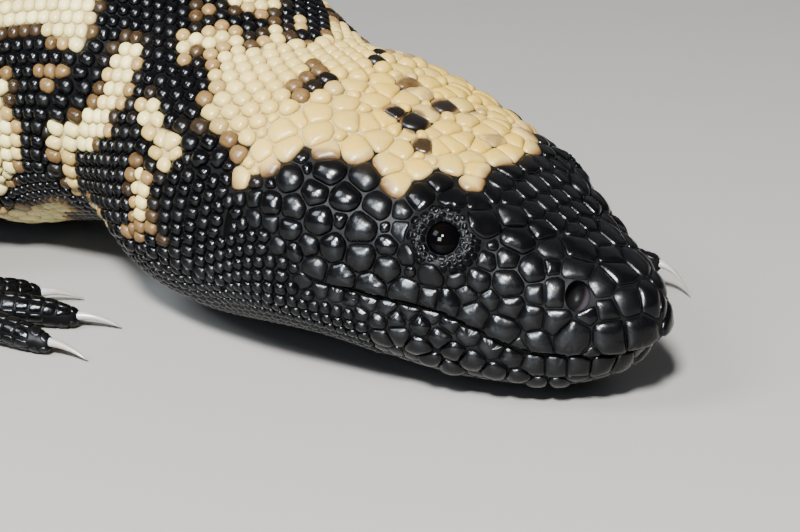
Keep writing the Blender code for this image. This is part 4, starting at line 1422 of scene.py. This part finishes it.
    def lay(self, shields: list[Seed], eye: tuple, limbs: list[LimbForm]) -> None:
        """Lays every seed, the fixed ones first."""
        for seed in shields:
            self.add(seed, 0.5)
        self.eye_rings(eye)
        head, neck = Coat.HEAD, Coat.NECK
        self.body_rows(1.0, 30.0, (2.6, 2.8), (-0.1, 1.0), HEAD_FILL, head, clearance=0.85)
        self.body_rows(30.0, 46.0, (3.0, 2.7), (0.45, 1.0), CROWN_SHIELD, head, clearance=0.85)
        self.body_rows(46.0, 60.0, (2.5, 2.2), (0.45, 1.0), NEAR_BEAD, head, clearance=0.85)
        self.body_rows(40.0, 60.0, (1.75, 1.7), (-0.25, 0.5), NEAR_BEAD, head, clearance=0.85)
        self.body_rows(1.0, 42.0, (1.9, 1.9), (-0.1, 1.0), HEAD_FILL, head, clearance=1.0)
        self.body_rows(1.0, 30.0, (2.1, 2.1), (-1.0, 0.0), HEAD_FILL, head)
        self.body_rows(30.0, 60.0, (1.6, 1.45), (-1.0, -0.1), THROAT_BEAD, head)
        self.body_rows(1.0, 60.0, (1.2, 1.2), (-1.0, 1.0), GRANULE, head, clearance=1.1)
        self.body_rows(60.0, 100.0, (2.0, 2.05), (-0.3, 1.0), NEAR_BEAD, neck)
        self.body_rows(60.0, 92.0, (1.45, 1.7), (-1.0, -0.25), THROAT_BEAD, neck)
        self.body_rows(100.0, 200.0, (2.05, 2.75), (-0.72, 1.0), BEAD, Coat.FRONT)
        self.body_rows(92.0, 200.0, (2.8, 3.4), (-1.0, -0.7), BELLY_PLATE, Coat.FRONT, 0.72)
        self.body_rows(200.0, 300.0, (2.75, 2.6), (-0.72, 1.0), BEAD, Coat.REAR)
        self.body_rows(200.0, 300.0, (3.4, 3.0), (-1.0, -0.7), BELLY_PLATE, Coat.REAR, 0.72)
        self.body_rows(300.0, 436.0, (2.6, 2.0), (-0.6, 1.0), BEAD, Coat.TAIL)
        self.body_rows(300.0, 436.0, (2.8, 2.1), (-1.0, -0.55), BELLY_PLATE, Coat.TAIL)
        coats = (Coat.FRONT_RIGHT, Coat.FRONT_LEFT, Coat.HIND_RIGHT, Coat.HIND_LEFT)
        for form, coat in zip(limbs, coats):
            self.limb_rows(form, coat)
        self.relax(3)
        self.fill_holes(1.0, 30.0, (1.0, 1.4), HEAD_FILL, head)
        self.fill_holes(30.0, 60.0, (0.6, 1.1), NEAR_BEAD, head)
        self.fill_holes(60.0, 100.0, (0.6, 1.0), NEAR_BEAD, neck)
        self.relax(2)


@dataclass
class ScaleShaper:
    """Turns seeds into closed domed scales that meet their neighbours' borders."""

    tree: BVHTree
    markings: Markings
    face: Face
    seeds: list
    near: int = 26
    bead_reach: float = 1.75
    lift_rounds: int = 3
    box_gap: float = 0.02 * MM
    sink: float = 0.28 * MM
    patch: float = 0.0015
    # Least distance to a neighbour's border, and fewest sides of a scale painted point by point
    least_border: float = 0.12 * MM
    painted_sides: int = 16

    def __post_init__(self) -> None:
        """Finds each seed's neighbours."""
        self.places = np.array([seed.place for seed in self.seeds])
        self.sizes = np.array([seed.size for seed in self.seeds])
        search = seed_tree(self.seeds)
        found = [search.find_n(seed.place, self.near + 1)[1:] for seed in self.seeds]
        self.neighbours = np.array([[index for _, index, _ in near] for near in found])
        self.normals = np.array([self.tree.find_nearest(seed.place)[1] for seed in self.seeds])

    def build(self, coat: Coat) -> bpy.types.Object:
        """The joined mesh of one coat, all its cuts together."""
        cuts = {seed.cut for seed in self.seeds if seed.coat is coat}
        parts = []
        for cut in sorted(cuts, key=lambda c: (c.sides, c.rise)):
            numbers = [k for k, s in enumerate(self.seeds) if s.coat is coat and s.cut == cut]
            parts.append(self.shape(np.array(numbers), cut))
        return self.join(coat.value, parts)

    def outline(self, numbers: np.ndarray, cut: Cut) -> tuple[np.ndarray, ...]:
        """Rim points and directions of some scales.

        Args:
            numbers: Which seeds.
            cut: Their common cut.

        Returns:
            Rim points, rim normals, the scales' own normals and their mean radii.
        """
        normal = self.normals[numbers]
        help_axis = np.where(np.abs(normal[:, :1]) < 0.8, [[1.0, 0, 0]], [[0, 1.0, 0]])
        ahead = unit(help_axis - normal * (help_axis * normal).sum(-1, keepdims=True))
        across = np.cross(normal, ahead)
        centre = self.places[numbers]
        near = self.neighbours[numbers]
        away = self.places[near] - centre[:, None]
        far = np.linalg.norm(away, axis=-1)
        x = (away * ahead[:, None]).sum(-1)
        y = (away * across[:, None]).sum(-1)
        phi = np.arctan2(y, x)
        own = self.sizes[numbers][:, None]
        share = own / (own + self.sizes[near])
        border = np.maximum(far * share - cut.gap / 2 * MM, self.least_border)
        turns = np.linspace(0, TURN, cut.sides, endpoint=False)
        total = self.pull(turns, phi, border, cut.corner)
        if self.seeds[numbers[0]].coat in (Coat.HEAD, Coat.LIDS):
            total += self.pull(turns, *self.face.borders(centre, ahead, across), cut.corner)
        limit = own * cut.reach
        radius = (total + limit**-cut.corner) ** (-1 / cut.corner)
        rim = (
            centre[:, None]
            + (np.cos(turns) * radius)[..., None] * ahead[:, None]
            + (np.sin(turns) * radius)[..., None] * across[:, None]
        )
        flat_rim = rim.reshape(-1, 3)
        rim_normals = np.empty_like(flat_rim)
        for k, point in enumerate(flat_rim):
            spot, direction, _, _ = self.tree.find_nearest(Vector(point))
            flat_rim[k] = spot
            rim_normals[k] = direction
        rim_normals = rim_normals.reshape(rim.shape)
        mean = unit(rim_normals.mean(axis=1))
        return flat_rim.reshape(rim.shape), rim_normals, mean, radius.mean(axis=1)

    @staticmethod
    def pull(turns: np.ndarray, angles: np.ndarray, reaches: np.ndarray, corner: float) -> np.ndarray:
        """How strongly some borders hold scales back in each direction.

        Args:
            turns: Directions round a scale.
            angles: Directions of its borders, one row for each scale.
            reaches: Their distances.
            corner: The power that joins them.

        Returns:
            One row for each scale and one column for each direction.
        """
        toward = np.maximum(np.cos(turns[None, :, None] - angles[:, None, :]), 0.0)
        return ((toward / reaches[:, None, :]) ** corner).sum(-1)

    def lift(self, ring: np.ndarray, normal: np.ndarray) -> np.ndarray:
        """How far the skin bulges past some scales' rings of points, evened out round each ring.

        Args:
            ring: One ring of points for each scale.
            normal: The scales' normals.

        Returns:
            A height along the normal for each point.
        """
        found = [self.tree.find_nearest(Vector(point))[0] for point in ring.reshape(-1, 3)]
        bulge = np.array(found).reshape(ring.shape) - ring
        height = np.maximum((bulge * normal[:, None]).sum(-1), 0.0)
        for _ in range(self.lift_rounds):
            height = (np.roll(height, 1, axis=1) + 2 * height + np.roll(height, -1, axis=1)) / 4
        return height

    def shape(self, numbers: np.ndarray, cut: Cut) -> dict:
        """Points, faces and attributes of some scales of one cut."""
        rim, rim_normals, normal, radius = self.outline(numbers, cut)
        centre = self.places[numbers]
        rise = radius * cut.rise
        layers, outward = [], []
        upright = normal[:, None]
        for k, share in enumerate(cut.rings):
            lean = upright * (1 - share) + rim_normals * share * 0.6 + upright * share * 0.4
            direction = unit(lean)
            dome = rise * math.sqrt(max(1 - share**cut.flat, 0.0))
            height = dome if k else np.full(len(numbers), -self.sink)
            base = centre[:, None] + (rim - centre[:, None]) * share
            if k and cut.reach > self.bead_reach:
                base += upright * self.lift(base, normal)[..., None]
            layers.append(base + direction * height[:, None, None])
            outward.append(direction)
        top = centre + normal * rise[:, None]
        count, sides, rings = len(numbers), cut.sides, len(cut.rings)
        block = sides * rings + 1
        verts = np.concatenate([*layers, top[:, None]], axis=1)
        low, high = np.array(CAD_BOX)
        flat = np.clip(verts, low + self.box_gap, high - self.box_gap).reshape(-1, 3)
        directions = np.concatenate([*outward, upright], axis=1).reshape(-1, 3)
        loops, starts = self.faces(sides, rings, block, count)
        whole, dark = self.markings.cream(centre, normal, np.where(radius > 1.5 * MM, 0.9, 1.5))
        if sides >= self.painted_sides:
            whole = np.repeat(ease(whole, 0.3, 0.7), block)
            edge, soft = self.markings.cream(flat, directions, np.full(len(flat), 2.4))
            cream = edge * 0.35 + whole * (0.30 + edge * 0.35)
            dark = np.repeat(dark, block) * 0.45 + soft * 0.45
        else:
            cream = np.repeat(whole, block)
            dark = np.repeat(dark, block) * 0.85
        cream = cream * (1 - dark)
        tone = np.repeat(np.array([self.tone(place) for place in centre]), block)
        sheet = np.array([self.seeds[n].sheet for n in numbers])
        turns = np.linspace(0, TURN, sides, endpoint=False)
        circle = np.stack([np.cos(turns), np.sin(turns)], axis=-1)
        disc = np.concatenate([*(circle * share for share in cut.rings), np.zeros((1, 2))])
        uv = sheet[:, None] + disc[None] * self.patch
        return {
            "verts": flat, "loops": loops, "starts": starts, "cream": cream, "tone": tone,
            "uv": uv.reshape(-1, 2),
        }

    @staticmethod
    def tone(place: np.ndarray) -> float:
        """A steady random number for a scale, from where it is."""
        x, y, z = (int(c * 1e6) for c in place)
        return random.Random(x * 31 + y * 17 + z).random()

    @staticmethod
    def faces(sides: int, rings: int, block: int, count: int) -> tuple[np.ndarray, np.ndarray]:
        """Face corners of equal scales, as loops and the start of each face's loops."""
        polygons = [list(range(sides))[::-1]]
        for ring in range(rings - 1):
            for k in range(sides):
                n = (k + 1) % sides
                low, high = ring * sides, (ring + 1) * sides
                polygons.append([low + k, low + n, high + n, high + k])
        last = (rings - 1) * sides
        polygons += [[last + k, last + (k + 1) % sides, rings * sides] for k in range(sides)]
        loops = np.concatenate([np.array(p) for p in polygons])
        starts = np.cumsum([0] + [len(p) for p in polygons[:-1]])
        shift = np.arange(count)[:, None]
        return (loops[None] + shift * block).ravel(), (starts[None] + shift * len(loops)).ravel()

    @staticmethod
    def join(name: str, parts: list[dict]) -> bpy.types.Object:
        """One mesh object from the parts of a coat."""
        verts, loops, starts = [], [], []
        point_shift = loop_shift = 0
        for part in parts:
            verts.append(part["verts"])
            loops.append(part["loops"] + point_shift)
            starts.append(part["starts"] + loop_shift)
            point_shift += len(part["verts"])
            loop_shift += len(part["loops"])
        points, corners, firsts = (np.concatenate(group) for group in (verts, loops, starts))
        data = bpy.data.meshes.new(name)
        data.vertices.add(len(points))
        data.vertices.foreach_set("co", points.astype(np.float32).ravel())
        data.loops.add(len(corners))
        data.loops.foreach_set("vertex_index", corners.astype(np.int32))
        data.polygons.add(len(firsts))
        data.polygons.foreach_set("loop_start", firsts.astype(np.int32))
        data.update(calc_edges=True)
        for key in ("cream", "tone"):
            write_attribute(data, key, np.concatenate([part[key] for part in parts]))
        uv = np.concatenate([part["uv"] for part in parts])[corners]
        data.uv_layers.new(name="OFBake").data.foreach_set("uv", uv.astype(np.float32).ravel())
        data.shade_smooth()
        return link(name, data)


# Finishes


class Wire:
    """A shader socket whose arithmetic adds Math nodes."""

    def __init__(self, graph: "Graph", socket: object) -> None:
        """Wraps a socket of a graph."""
        self.graph = graph
        self.socket = socket

    def math(self, operation: str, *others: object, first: object = None) -> "Wire":
        """One Math node on this socket and other sockets or numbers."""
        values = [self if first is None else first, *others]
        return self.graph.add("ShaderNodeMath", {"operation": operation}, dict(enumerate(values)))

    def __add__(self, other: object) -> "Wire":
        """Sum."""
        return self.math("ADD", other)

    __radd__ = __add__

    def __mul__(self, other: object) -> "Wire":
        """Product."""
        return self.math("MULTIPLY", other)

    __rmul__ = __mul__

    def __sub__(self, other: object) -> "Wire":
        """Difference."""
        return self.math("SUBTRACT", other)

    def __rsub__(self, other: object) -> "Wire":
        """Difference from a number."""
        return self.math("SUBTRACT", self, first=other)

    def step(self, low: float, high: float) -> "Wire":
        """0 below low, 1 above high and a smooth change between them."""
        settings = {"interpolation_type": "SMOOTHSTEP"}
        inputs = {"Value": self, "From Min": low, "From Max": high}
        return self.graph.add("ShaderNodeMapRange", settings, inputs)


class Graph:
    """The nodes of one material."""

    def __init__(self, name: str) -> None:
        """A material with only its shader and output."""
        self.material = bpy.data.materials.new(name)
        self.material.use_nodes = True
        self.tree = self.material.node_tree
        self.shader = self.tree.nodes["Principled BSDF"]

    def add(
        self, kind: str, settings: dict | None = None, inputs: dict | None = None, output: object = 0,
    ) -> Wire:
        """One node.

        Args:
            kind: Blender's type of the node.
            settings: Properties, set first; a ramp's stops go under the key stops.
            inputs: Values or wires by socket name or number.
            output: Socket that the result wraps.

        Returns:
            The output socket, wrapped.
        """
        node = self.tree.nodes.new(kind)
        for key, value in (settings or {}).items():
            if key == "stops":
                self.stops(node.color_ramp, value)
            else:
                setattr(node, key, value)
        for key, value in (inputs or {}).items():
            self.feed(node.inputs[key], value)
        return Wire(self, node.outputs[output])

    @staticmethod
    def stops(ramp: object, stops: tuple) -> None:
        """Sets a ramp's positions and colours."""
        while len(ramp.elements) < len(stops):
            ramp.elements.new(1.0)
        for element, (position, colour) in zip(ramp.elements, stops):
            element.position = position
            element.color = (*colour, 1.0)

    def feed(self, socket: object, value: object) -> None:
        """Links a wire to a socket or sets the socket's own value."""
        if isinstance(value, Wire):
            self.tree.links.new(value.socket, socket)
        else:
            socket.default_value = value

    def place(self) -> Wire:
        """Places in the object's own space."""
        return self.add("ShaderNodeTexCoord", output="Object")

    def ahead(self) -> Wire:
        """How far ahead a place lies, in metres."""
        return self.add("ShaderNodeSeparateXYZ", {}, {0: self.place()}, "X")

    def noise(self, scale: float, detail: float = 2.0) -> Wire:
        """A noise pattern in the object's own space."""
        place = self.place()
        inputs = {"Vector": place, "Scale": scale, "Detail": detail}
        return self.add("ShaderNodeTexNoise", {}, inputs, "Fac")

    def attribute(self, name: str) -> Wire:
        """A number kept in the mesh."""
        return self.add("ShaderNodeAttribute", {"attribute_name": name}, output="Fac")

    def mix(self, share: object, first: object, second: object) -> Wire:
        """A colour between two."""
        inputs = {0: share, 6: first, 7: second}
        return self.add("ShaderNodeMix", {"data_type": "RGBA"}, inputs, 2)

    def bump(self, height: Wire, distance: float, strength: float) -> Wire:
        """A bumped normal."""
        inputs = {"Strength": strength, "Distance": distance, "Height": height}
        return self.add("ShaderNodeBump", {}, inputs)

    def finish(self, **sockets: object) -> bpy.types.Material:
        """Feeds the shader's sockets, whose names are given with underscores."""
        for key, value in sockets.items():
            self.feed(self.shader.inputs[key.replace("_", " ").title().replace("Ior", "IOR")], value)
        return self.material


@dataclass(frozen=True)
class ScaleFinish:
    """Glossy black and waxy cream horn, with brown where one turns into the other."""

    name: str = "beaded_scales"
    stops: tuple = (
        (0.0, (0.0014, 0.0014, 0.0017)), (0.22, (0.006, 0.0045, 0.0035)),
        (0.42, (0.042, 0.024, 0.010)), (0.58, (0.165, 0.098, 0.036)), (0.78, (0.34, 0.240, 0.080)),
        (1.0, (0.48, 0.36, 0.12)),
    )
    pale: tuple = (0.61, 0.545, 0.26, 1.0)
    warm: tuple = (0.375, 0.235, 0.028, 1.0)
    specular: float = 0.19

    def make(self) -> bpy.types.Material:
        """Builds the material."""
        graph = Graph(self.name)
        cream = graph.attribute("cream")
        tone = graph.attribute("tone")
        mottle = graph.noise(900.0, 3.0)
        level = cream + (mottle - 0.5) * 0.16 * cream.step(0.05, 0.4)
        colour = graph.add("ShaderNodeValToRGB", {"stops": self.stops}, {"Fac": level}, "Color")
        hue = graph.mix(graph.ahead().step(0.100, 0.150), self.pale, self.warm)
        full = cream.step(0.80, 1.0)
        colour = graph.mix(full * (0.55 + tone * 0.35), colour, hue)
        shade = graph.mix(0.80 + tone * 0.20, (0.0, 0.0, 0.0, 1.0), colour)
        fine = graph.noise(2600.0, 2.0)
        rough = 0.17 + tone * 0.15 + cream * 0.03 + (fine - 0.5) * 0.10
        height = fine * 0.5 + mottle
        return graph.finish(
            base_color=shade, roughness=rough, specular_ior_level=self.specular, subsurface_weight=0.2,
            subsurface_radius=(1.0, 0.6, 0.3), subsurface_scale=0.001,
            normal=graph.bump(height, 0.00006, 0.5),
        )


@dataclass(frozen=True)
class SkinFinish:
    """The skin between the scales: dark, greyer in folds (partly painted sheen) and brownish cream in
    patches (partly painted crease shade).
    """

    name: str = "skin_between_scales"
    dark: tuple = (0.0015, 0.0015, 0.0016, 1.0)
    # Grey of the folds on the head: partly the skin's own grey, partly painted sheen
    grey: tuple = (0.0045, 0.0045, 0.0045, 1.0)
    # Brownish cream between cream scales, darker than them: partly the skin's own tan, partly painted
    # shade in the creases
    cream: tuple = (0.30, 0.225, 0.10, 1.0)
    lilac: tuple = (0.028, 0.022, 0.028, 1.0)

    def make(self) -> bpy.types.Material:
        """Builds the material."""
        graph = Graph(self.name)
        ahead = graph.ahead()
        folds = graph.noise(1400.0, 4.0)
        # The head's skin turns greyer in its folds: partly its own grey, partly painted sheen
        base = graph.mix(ahead.step(0.118, 0.132) * (0.4 + folds * 0.6), self.dark, self.grey)
        # Cream patches get the brownish cream, whose darkness against the scales is partly painted
        # crease shade
        colour = graph.mix(graph.attribute("cream").step(0.75, 1.0), base, self.cream)
        # The nostril's lilac lining, shown only at its front; its dark rear is painted shade
        colour = graph.mix(graph.attribute("lining"), colour, self.lilac)
        return graph.finish(
            base_color=colour, roughness=0.34 + folds * 0.2 + graph.attribute("lining") * 0.3,
            specular_ior_level=0.06,
            normal=graph.bump(folds, 0.0001, 0.5),
        )


@dataclass(frozen=True)
class HornFinish:
    """Claws of grey-white horn, yellower at the tip, with fine streaks."""

    name: str = "claw_horn"
    pale: tuple = (0.23, 0.195, 0.165, 1.0)
    root: tuple = (0.27, 0.26, 0.275, 1.0)

    def make(self) -> bpy.types.Material:
        """Builds the material."""
        graph = Graph(self.name)
        streaks = graph.noise(1800.0, 3.0)
        share = graph.attribute("reach").step(0.05, 0.55) * (0.75 + streaks * 0.25)
        colour = graph.mix(share, self.root, self.pale)
        return graph.finish(
            base_color=colour, roughness=0.26 + streaks * 0.12, coat_weight=0.2, coat_roughness=0.15,
            normal=graph.bump(streaks, 0.00005, 0.4),
        )


@dataclass(frozen=True)
class EyeFinish:
    """A wet black eye, a trace browner round the pupil."""

    name: str = "wet_eye"
    black: tuple = (0.0006, 0.0006, 0.001, 1.0)
    brown: tuple = (0.0015, 0.0011, 0.0008, 1.0)

    def make(self) -> bpy.types.Material:
        """Builds the material."""
        graph = Graph(self.name)
        cloud = graph.noise(500.0, 2.0)
        colour = graph.mix(cloud.step(0.4, 0.8), self.black, self.brown)
        return graph.finish(
            base_color=colour, roughness=0.04 + cloud * 0.03, specular_ior_level=0.04,
        )


@dataclass(frozen=True)
class FloorFinish:
    """A plain pale floor."""

    name: str = "pale_floor"
    colour: tuple = (0.235, 0.228, 0.217, 1.0)

    def make(self) -> bpy.types.Material:
        """Builds the material."""
        graph = Graph(self.name)
        cloud = graph.noise(14.0, 2.0)
        tint = tuple(c * 0.96 for c in self.colour[:3]) + (1.0,)
        colour = graph.mix(cloud, self.colour, tint)
        return graph.finish(base_color=colour, roughness=0.55 + cloud * 0.05)


# Eyes, claws and studio


@dataclass
class Eyes:
    """Two eyeballs, each a little flatter outwards, with its cornea."""

    body: BodyForm
    place: tuple = EYE
    radius: float = 3.15
    depth: float = 2.85

    def build(self, finish: bpy.types.Material) -> None:
        """Makes both eyes, hangs them under the root and hides the imported eyes."""
        for side, word in ((-1, "right"), (1, "left")):
            _, _, out = self.body.outward(*self.place, side)
            bpy.ops.mesh.primitive_uv_sphere_add(segments=48, ring_count=32, radius=self.radius * MM)
            eye = bpy.context.active_object
            eye.name = eye.data.name = f"eyeball_{word}"
            bpy.ops.object.mode_set(mode="EDIT")
            bpy.ops.mesh.select_all(action="DESELECT")
            bpy.ops.object.mode_set(mode="OBJECT")
            for vert in eye.data.vertices:
                vert.select = vert.co.z > self.radius * 0.75 * MM
            bpy.ops.object.mode_set(mode="EDIT")
            bpy.ops.transform.resize(value=(0.96, 0.96, 1.0), center_override=(0, 0, 0))
            bpy.ops.object.mode_set(mode="OBJECT")
            eye.rotation_euler = out.to_track_quat("Z", "Y").to_euler()
            eye.location = self.body.place(*self.place, side) - out * self.depth * MM
            settle(eye)
            bpy.ops.object.shade_smooth()
            eye.data.materials.append(finish)
            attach(eye, "root")
            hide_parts(f"eye_{word}")


@dataclass
class Claws:
    """Curved claws, each drawn out of a small ring in steps."""

    length: float = 6.4
    thickness: float = 1.35
    tip_height: float = 0.35
    gap: float = 0.3
    sides: int = 14
    steps: int = 9
    root_depth: float = 0.5
    spare_length: float = 0.4
    bend_rise: float = 0.8
    # How much of its width it loses on the way, how late, and what is left at the tip
    taper: float = 0.72
    taper_power: float = 1.3
    tip_share: float = 0.1

    def path(self, knuckle: np.ndarray, tip: np.ndarray) -> list[np.ndarray]:
        """The claw's middle line, in millimetres."""
        ahead = unit(tip - knuckle)
        base = tip - ahead * self.root_depth
        level = unit(np.array([ahead[0], ahead[1], 0.0]))
        fall = base[2] - self.tip_height
        span = self.length + self.gap + self.spare_length
        end = base + level * math.sqrt(span**2 - fall**2)
        end[2] = self.tip_height
        bend = base + level * self.length * 0.5 + np.array([0, 0, self.bend_rise])
        shares = [k / self.steps for k in range(self.steps + 1)]
        return [(1 - t) ** 2 * base + 2 * t * (1 - t) * bend + t * t * end for t in shares]

    def build(self, name: str, knuckle: np.ndarray, tip: np.ndarray) -> bpy.types.Object:
        """One claw.

        Args:
            name: Name of the piece.
            knuckle: The toe's knuckle, in millimetres.
            tip: The toe's tip.

        Returns:
            The object.
        """
        points = self.path(knuckle, tip)
        bpy.ops.mesh.primitive_circle_add(
            vertices=self.sides, radius=self.thickness / 2 * MM, fill_type="NGON",
            location=Vector(points[0] * MM),
            rotation=Vector(points[1] - points[0]).to_track_quat("Z", "X").to_euler(),
        )
        claw = bpy.context.active_object
        claw.name = claw.data.name = name
        settle(claw)
        bpy.ops.object.mode_set(mode="EDIT")
        bpy.ops.mesh.select_all(action="SELECT")
        before = 1.0
        for k in range(1, self.steps + 1):
            share = 1 - self.taper * (k / self.steps) ** self.taper_power
            if k == self.steps:
                share = self.tip_share
            move = Vector((points[k] - points[k - 1]) * MM)
            bpy.ops.mesh.extrude_region_move(TRANSFORM_OT_translate={"value": move})
            ratio = share / before
            bpy.ops.transform.resize(value=(ratio,) * 3, center_override=Vector(points[k] * MM))
            before = share
        bpy.ops.mesh.select_all(action="SELECT")
        bpy.ops.mesh.normals_make_consistent(inside=False)
        bpy.ops.object.mode_set(mode="OBJECT")
        bpy.ops.object.shade_smooth()
        span = (points[-1] - points[0]) * MM
        reach = (read_points(claw.data) - points[0] * MM) @ span / (span @ span)
        write_attribute(claw.data, "reach", reach)
        return claw


@dataclass
class Studio:
    """Floor, soft lights and surroundings."""

    floor_size: float = 6.0
    sky: tuple = (0.80, 0.84, 0.90, 1.0)
    sky_strength: float = 0.11
    # Name, place, target, size, power and colour of each light
    lights: tuple = (
        ("key", (0.31, -0.50, 0.48), (0.11, -0.02, 0.02), 0.085, 25.0, (1.0, 0.99, 0.97)),
        ("fill", (-0.22, -0.62, 0.72), (0.08, 0.0, 0.02), 0.35, 13.0, (0.84, 0.92, 1.0)),
        ("rim", (0.20, 0.90, 0.9), (0.10, 0.0, 0.02), 1.2, 1.5, (1.0, 1.0, 1.0)),
        ("gloss", (0.19, -0.53, 0.25), (0.12, -0.02, 0.02), 0.15, 14.0, (0.80, 0.90, 1.0)),
    )
    # The light that is only seen mirrored in the horn
    mirrored: str = "gloss"

    def build(self) -> None:
        """Makes the floor, the lights and the world."""
        bpy.ops.mesh.primitive_plane_add(size=self.floor_size)
        floor = bpy.context.active_object
        floor.name = floor.data.name = "floor"
        floor.data.materials.append(FloorFinish().make())
        for name, place, target, size, power, colour in self.lights:
            data = bpy.data.lights.new(name, "AREA")
            data.energy = power
            data.color = colour
            data.size = size
            made = link(name, data)
            made.visible_diffuse = name != self.mirrored
            made.location = place
            made.rotation_euler = (Vector(target) - Vector(place)).to_track_quat("-Z", "Y").to_euler()
        world = bpy.data.worlds.new("studio")
        world.use_nodes = True
        background = world.node_tree.nodes["Background"]
        background.inputs["Color"].default_value = self.sky
        background.inputs["Strength"].default_value = self.sky_strength
        bpy.context.scene.world = world


@dataclass
class GilaMonster:
    """The whole animal: skin, coats of scales, eyes and claws."""

    view: PhotoView
    body: BodyForm = field(default_factory=BodyForm)
    lining_reach: float = 1.9 * MM
    # Distances from an ear's middle where the black skin round it ends
    ear_reach: tuple = (4.0 * MM, 5.5 * MM)

    def flesh_nodes(self) -> list[str]:
        """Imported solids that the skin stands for."""
        names = ["head", "lower_jaw", "neck", "torso", "tail_base", "tail_tip"]
        for leg in LEGS:
            upper, lower = LEG_WORDS[leg.name.split("_")[0]]
            names += [f"{leg.name}_{upper}", f"{leg.name}_{lower}", f"{leg.name}_foot"]
        return names

    def dress_skin(self, skin: Skin, markings: Markings) -> None:
        """Paints the markings into the skin, gives it its finish, hangs it under the root and hides the
        solids it stands for.
        """
        data = skin.piece.data
        points, normals = (read_points(data, key).astype(float) for key in ("co", "normal"))
        count = len(points)
        cream, dark = markings.cream(points, normals, np.full(count, 2.0))
        cream *= 1 - dark
        lining = np.zeros(count)
        for side in (-1, 1):
            _, _, out = self.body.outward(*skin.nostril, side)
            spot = np.array(self.body.place(*skin.nostril, side) - out * 1.5 * MM)
            away = points - spot
            far = np.linalg.norm(away, axis=1)
            # Lilac only at the nostril's front, so that its rear stays dark as painted shade
            front = ease(away @ self.body.forward, 0.1 * MM, 0.7 * MM)
            inside = 1 - ease(far, self.lining_reach * 0.7, self.lining_reach)
            lining = np.maximum(lining, front * inside)
            from_ear = np.linalg.norm(points - np.array(self.body.place(*skin.ear, side)), axis=1)
            cream *= ease(from_ear, *self.ear_reach)
        write_attribute(data, "cream", cream)
        write_attribute(data, "lining", lining)
        data.materials.clear()
        data.materials.append(SkinFinish().make())
        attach(skin.piece, "root")
        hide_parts(*self.flesh_nodes())
        LOG.info("skin: %d points", count)

    def build(self) -> None:
        """Builds every piece of the animal in order."""
        limbs = [LimbForm(leg) for leg in LEGS]
        maker = FleshMaker(self.body)
        skin = Skin(maker)
        skin.build(limbs)
        markings = Markings(self.view, self.body)
        self.dress_skin(skin, markings)
        shields = HeadShields(self.view, self.body).seeds(skin.tree)
        LOG.info("head shields: %d", len(shields))
        face = Face(self.body, skin)
        layer = ScaleLayer(self.body, skin.tree, face)
        layer.lay(shields, maker.eye, limbs)
        LOG.info("scales: %d", len(layer.seeds))
        shaper = ScaleShaper(skin.tree, markings, face, layer.seeds)
        finish = ScaleFinish().make()
        lids = ScaleFinish("eyelid_scales", specular=0.045).make()
        for coat in Coat:
            piece = shaper.build(coat)
            piece.data.materials.append(lids if coat is Coat.LIDS else finish)
            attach(piece, "root")
            LOG.info("%s: %d faces", piece.name, len(piece.data.polygons))
        Eyes(self.body).build(EyeFinish().make())
        horn = HornFinish().make()
        for form in limbs:
            for number, (_, knuckle, tip) in enumerate(form.toes(), 1):
                name = f"{form.leg.name}_claw_{number}"
                claw = Claws().build(f"{name}_horn", knuckle, tip)
                claw.data.materials.append(horn)
                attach(claw, "root")
                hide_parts(name)
        LOG.info("eyes and claws done")


def main() -> None:
    """Builds the scene in order."""
    logging.basicConfig(level=logging.INFO, format="%(name)s %(message)s")
    deselect()
    view = PhotoView()
    view.make_camera()
    GilaMonster(view).build()
    Studio().build()


if __name__ == "__main__":
    main()
